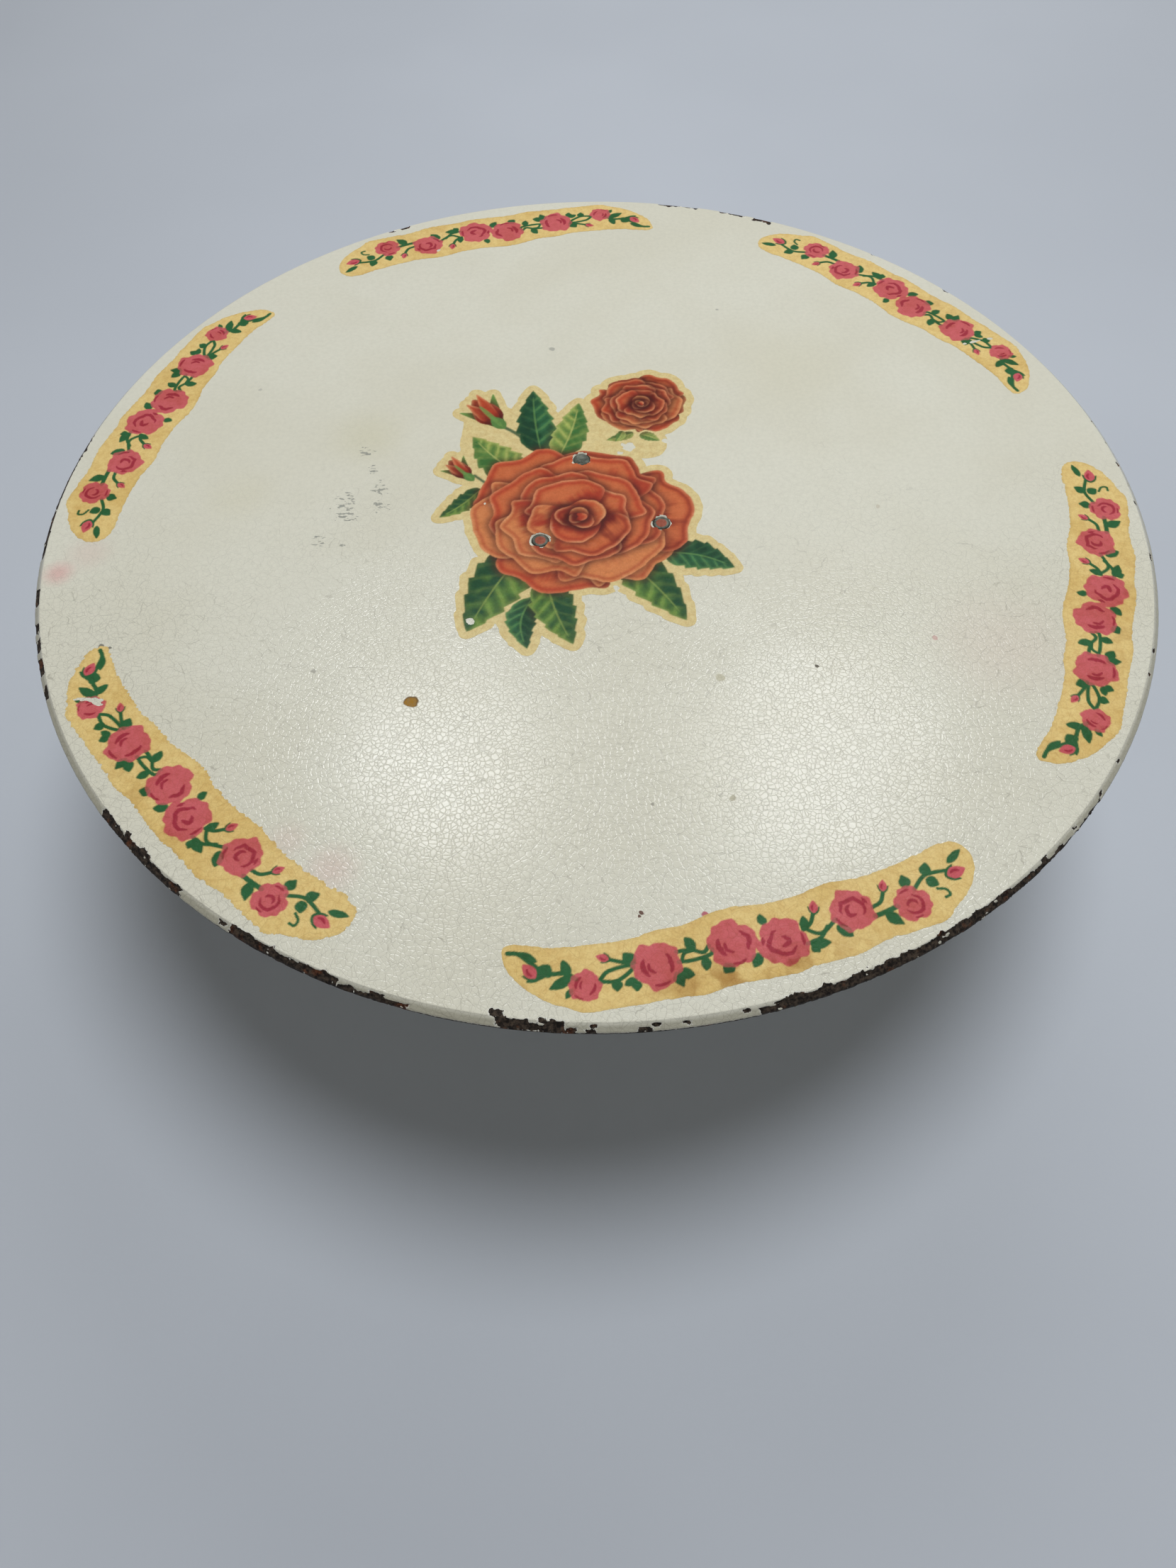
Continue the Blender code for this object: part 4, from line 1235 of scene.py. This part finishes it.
def paint_spray(x, y):
    canvas = Canvas(x, y, tone(SPRAY_BACK))
    for width, *points in SPRAY_STEMS:
        canvas.stroke(line(points), width, tone(STEM), 0.9, taper=False, soft=0.3)
    for base, tip, width, bend, lit_side, colours in SPRAY_LEAVES:
        leaf(canvas, base, tip, width, bend, lit_side=lit_side, **colours)
    rose_bud(canvas, -31.6, 40.0, 128, 16.0)
    rose_bud(canvas, -38.4, 15.6, 132, 11.0)
    for base, tip, width in SMALL_LEAVES:
        leaf(canvas, base, tip, width, 0.3, **WARM)
    full_rose(canvas, 14.5, 43.0, 14.0, 300)
    full_rose(canvas, -4.5, -4.0, 30.5, 250)
    grain = (0.93 + 0.14 * fractal(x, y, 1.1, 93, 3))[:, None]
    canvas.colour = canvas.colour * grain
    edge = np.maximum(canvas.film, inside_distance(x, y, loop(SPRAY_FILL)) - SPRAY_HALO)
    edge = edge + SPRAY_HALO + 0.7 * (fractal(x, y, 3.0, 91) - 0.5)
    for tx, ty, radius in SPRAY_TEARS:
        away = np.hypot(x - tx, y - ty) - radius
        edge = np.minimum(edge, away + 1.8 * (fractal(x, y, 1.2, 95) - 0.5))
    for cx, cy in rivet_centres():
        away = np.hypot(x - cx / MM, y - cy / MM) - RECESS_RADIUS / MM
        edge = np.minimum(edge, away + 2.2 * (fractal(x, y, 1.6, 97) - 0.55))
    return canvas.colour, edge


def make_spray(material):
    xs = np.arange(-47, 41, SPRAY_STEP)
    ys = np.arange(-55, 61, SPRAY_STEP)
    x, y = np.meshgrid(xs, ys)
    shape = x.shape
    x, y = x.ravel(), y.ravel()
    colours, edge = paint_spray(x, y)

    def to_world(px, py):
        wx, wy = px * MM, py * MM
        return np.stack([wx, wy, film_top(wx, wy)], -1)

    film_mesh("rose_spray", x, y, edge, SPRAY_STEP, shape, to_world, colours, material)


# ---------------------------------------------------------------- rivets, pedestal, CAD nodes


# Rivets: radius of the shank, height of the tail's shoulder over its end, and the crown's rounding and dish
RIVET_SHANK = 2.5 * MM
RIVET_SHOULDER = 2.6 * MM
RIVET_CORNER = 0.4 * MM
RIVET_DISH = 0.10 * MM


def rivet_profile(low, high, tail):
    """A rivet's closed section, as (r, z), and how many of its points make the crown."""
    shoulder, crown = low + RIVET_SHOULDER, high - 0.12 * MM
    profile = [(r, crown) for r in np.linspace(0.05 * MM, RIVET_SHANK - 0.5 * MM, 10)]
    profile += arc(RIVET_SHANK - RIVET_CORNER, crown - RIVET_CORNER, RIVET_CORNER, 80, 0, 4)
    on_crown = len(profile) - 2
    profile += [(RIVET_SHANK, shoulder), (tail - 0.3 * MM, shoulder)]
    for a in np.linspace(0.05, 1.55, 12):
        profile.append((tail * math.cos(a), shoulder - 0.1 * MM - 2.5 * MM * math.sin(a)))
    return profile, on_crown


def make_rivets(material):
    """Each rivet turned finer than the CAD one, with a worn, uneven crown. The first has lost its film."""
    for number, (name, centre) in enumerate(zip(RIVET_NODES, rivet_centres())):
        low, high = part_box(name)
        profile, on_crown = rivet_profile(low.z, high.z, (high.x - low.x) / 2)
        grid, quads = lathe(profile, RIVET_SEGMENTS, closed=True)
        radius = grid_radius(grid)
        worn = (fractal(grid[:, :, 0], grid[:, :, 1], 1.4 * MM, 101 + number, 4) - 0.5) * 0.16 * MM
        dish = RIVET_DISH if number else -RIVET_DISH
        on_top = np.arange(len(profile)) < on_crown
        hollow = dish * (1 - smooth(radius, 0, 0.8 * RIVET_SHANK))
        grid[:, :, 2] += np.where(on_top, worn + hollow, 0)
        grid[:, :, :2] += centre
        piece = make_object(f"{name}_worn", grid.reshape(-1, 3), quads, material)
        # Painted shade: a ring near the crown's edge, stored as chip, that the rivet look darkens as the
        # shade of a groove
        groove_shade_start, groove_shade_end = (0.72, 0.92) if number else (0.85, 1.0)
        ring = smooth(radius, groove_shade_start * RIVET_SHANK, groove_shade_end * RIVET_SHANK)
        store_values(piece, "chip", np.where(on_top, ring, 0).ravel())
        film_left = 1 - smooth(radius, 0.50 * RIVET_SHANK, 0.70 * RIVET_SHANK) if number else 0 * radius
        store_values(piece, "film", np.where(on_top, film_left, 0).ravel())
        finish_piece(piece, "turntable", "rivet_steel", name)


# Material slot of each CAD node that stays, by the start of its name; the first match counts
CAD_SLOTS = (
    ("ball_cage", "bronze"), ("ball_", "ground_steel"),
    ("foot_screw", "ground_steel"), ("foot_", "black_rubber"),
    ("hub_flange", "cast_metal"), ("hub_pin", "ground_steel"),
    ("pedestal_casting", "painted_iron"), ("spindle", "ground_steel"),
    ("upper_bush", "bronze"), ("lower_bush", "bronze"),
    ("upper_race", "ground_steel"), ("lower_race", "ground_steel"), ("retaining_", "ground_steel"),
)


def dress_cad_nodes(looks):
    """Gives every CAD node that stays the material of its slot."""
    for name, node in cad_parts.items():
        slot_name = next((slot for start, slot in CAD_SLOTS if name.startswith(start)), None)
        if slot_name:
            for place in node.material_slots:
                place.material = looks[slot_name]


# ---------------------------------------------------------------- stage


def make_floor(material):
    grid, quads = lathe([(r, 0.0) for r in (0.001, 0.1, 0.2, 0.4, 0.8, 1.6, 3.2, 6.4)], 96, closed=False)
    floor = make_object("studio_floor", grid.reshape(-1, 3) - np.array([0, 0, 0.0002]), quads, material)


def add_area_light(name, place, target, size, power, colour, mirrored):
    """A round lamp that is either seen only as a reflection, or lights without being mirrored."""
    data = bpy.data.lights.new(name, "AREA")
    data.shape = "DISK"
    data.size = size
    data.energy = power
    data.color = colour
    light = bpy.data.objects.new(name, data)
    light.location = place
    light.rotation_euler = (Vector(target) - Vector(place)).to_track_quat("-Z", "Y").to_euler()
    light.visible_glossy = mirrored
    light.visible_diffuse = not mirrored
    bpy.context.scene.collection.objects.link(light)


def make_lights():
    world = bpy.data.worlds.new("studio")
    bpy.context.scene.world = world
    world.use_nodes = True
    background = world.node_tree.nodes["Background"]
    background.inputs["Color"].default_value = (1.0, 0.99, 0.96, 1)
    background.inputs["Strength"].default_value = 0.155
    middle = (0, 0, PLATE_TOP)
    cool = (0.94, 0.97, 1.0)
    white = (0.96, 0.98, 1.0)
    add_area_light("key", (0.10, 0.02, 1.20), middle, 0.50, 7.3, cool, False)
    add_area_light("backdrop", (0.15, 0.80, 0.85), (0.05, 0.60, 0), 0.60, 2.6, cool, False)
    add_area_light("lamp_left", (-0.22, 0.73, 1.35), middle, 0.30, 1.9, white, True)
    add_area_light("lamp_right", (0.36, 0.73, 1.35), middle, 0.36, 2.1, white, True)


def make_camera():
    data = bpy.data.cameras.new("camera")
    data.sensor_fit = "VERTICAL"
    data.sensor_height = SENSOR
    data.sensor_width = SENSOR
    data.lens = CAMERA_LENS
    data.clip_start = 0.01
    data.clip_end = 20
    forward = Vector((0, math.cos(CAMERA_ELEVATION), -math.sin(CAMERA_ELEVATION)))
    right = Vector((1, 0, 0))
    up = right.cross(forward)
    side = math.cos(CAMERA_ROLL) * right + math.sin(CAMERA_ROLL) * up
    top = -math.sin(CAMERA_ROLL) * right + math.cos(CAMERA_ROLL) * up
    camera = bpy.data.objects.new("camera", data)
    turn = Matrix((side, top, -forward)).transposed()
    camera.matrix_world = Matrix.Translation(CAMERA_TARGET - forward * CAMERA_DISTANCE) @ turn.to_4x4()
    bpy.context.scene.collection.objects.link(camera)
    bpy.context.scene.camera = camera


looks = {
    "plate_enamel": enamel_look(),
    "painted_iron": painted_iron_look(),
    "cast_metal": cast_look(),
    "rivet_steel": rivet_look(),
    "ground_steel": steel_look(),
    "bronze": bronze_look(),
    "black_rubber": rubber_look(),
}
film = transfer_look()

make_plate_top(looks["plate_enamel"])
make_plate_rim(looks["plate_enamel"])
make_plate_underside(looks["painted_iron"])
make_garlands(film)
make_spray(film)
make_rivets(looks["rivet_steel"])
dress_cad_nodes(looks)
make_floor(floor_look())
make_lights()
make_camera()
bpy.context.scene.view_settings.view_transform = "Standard"
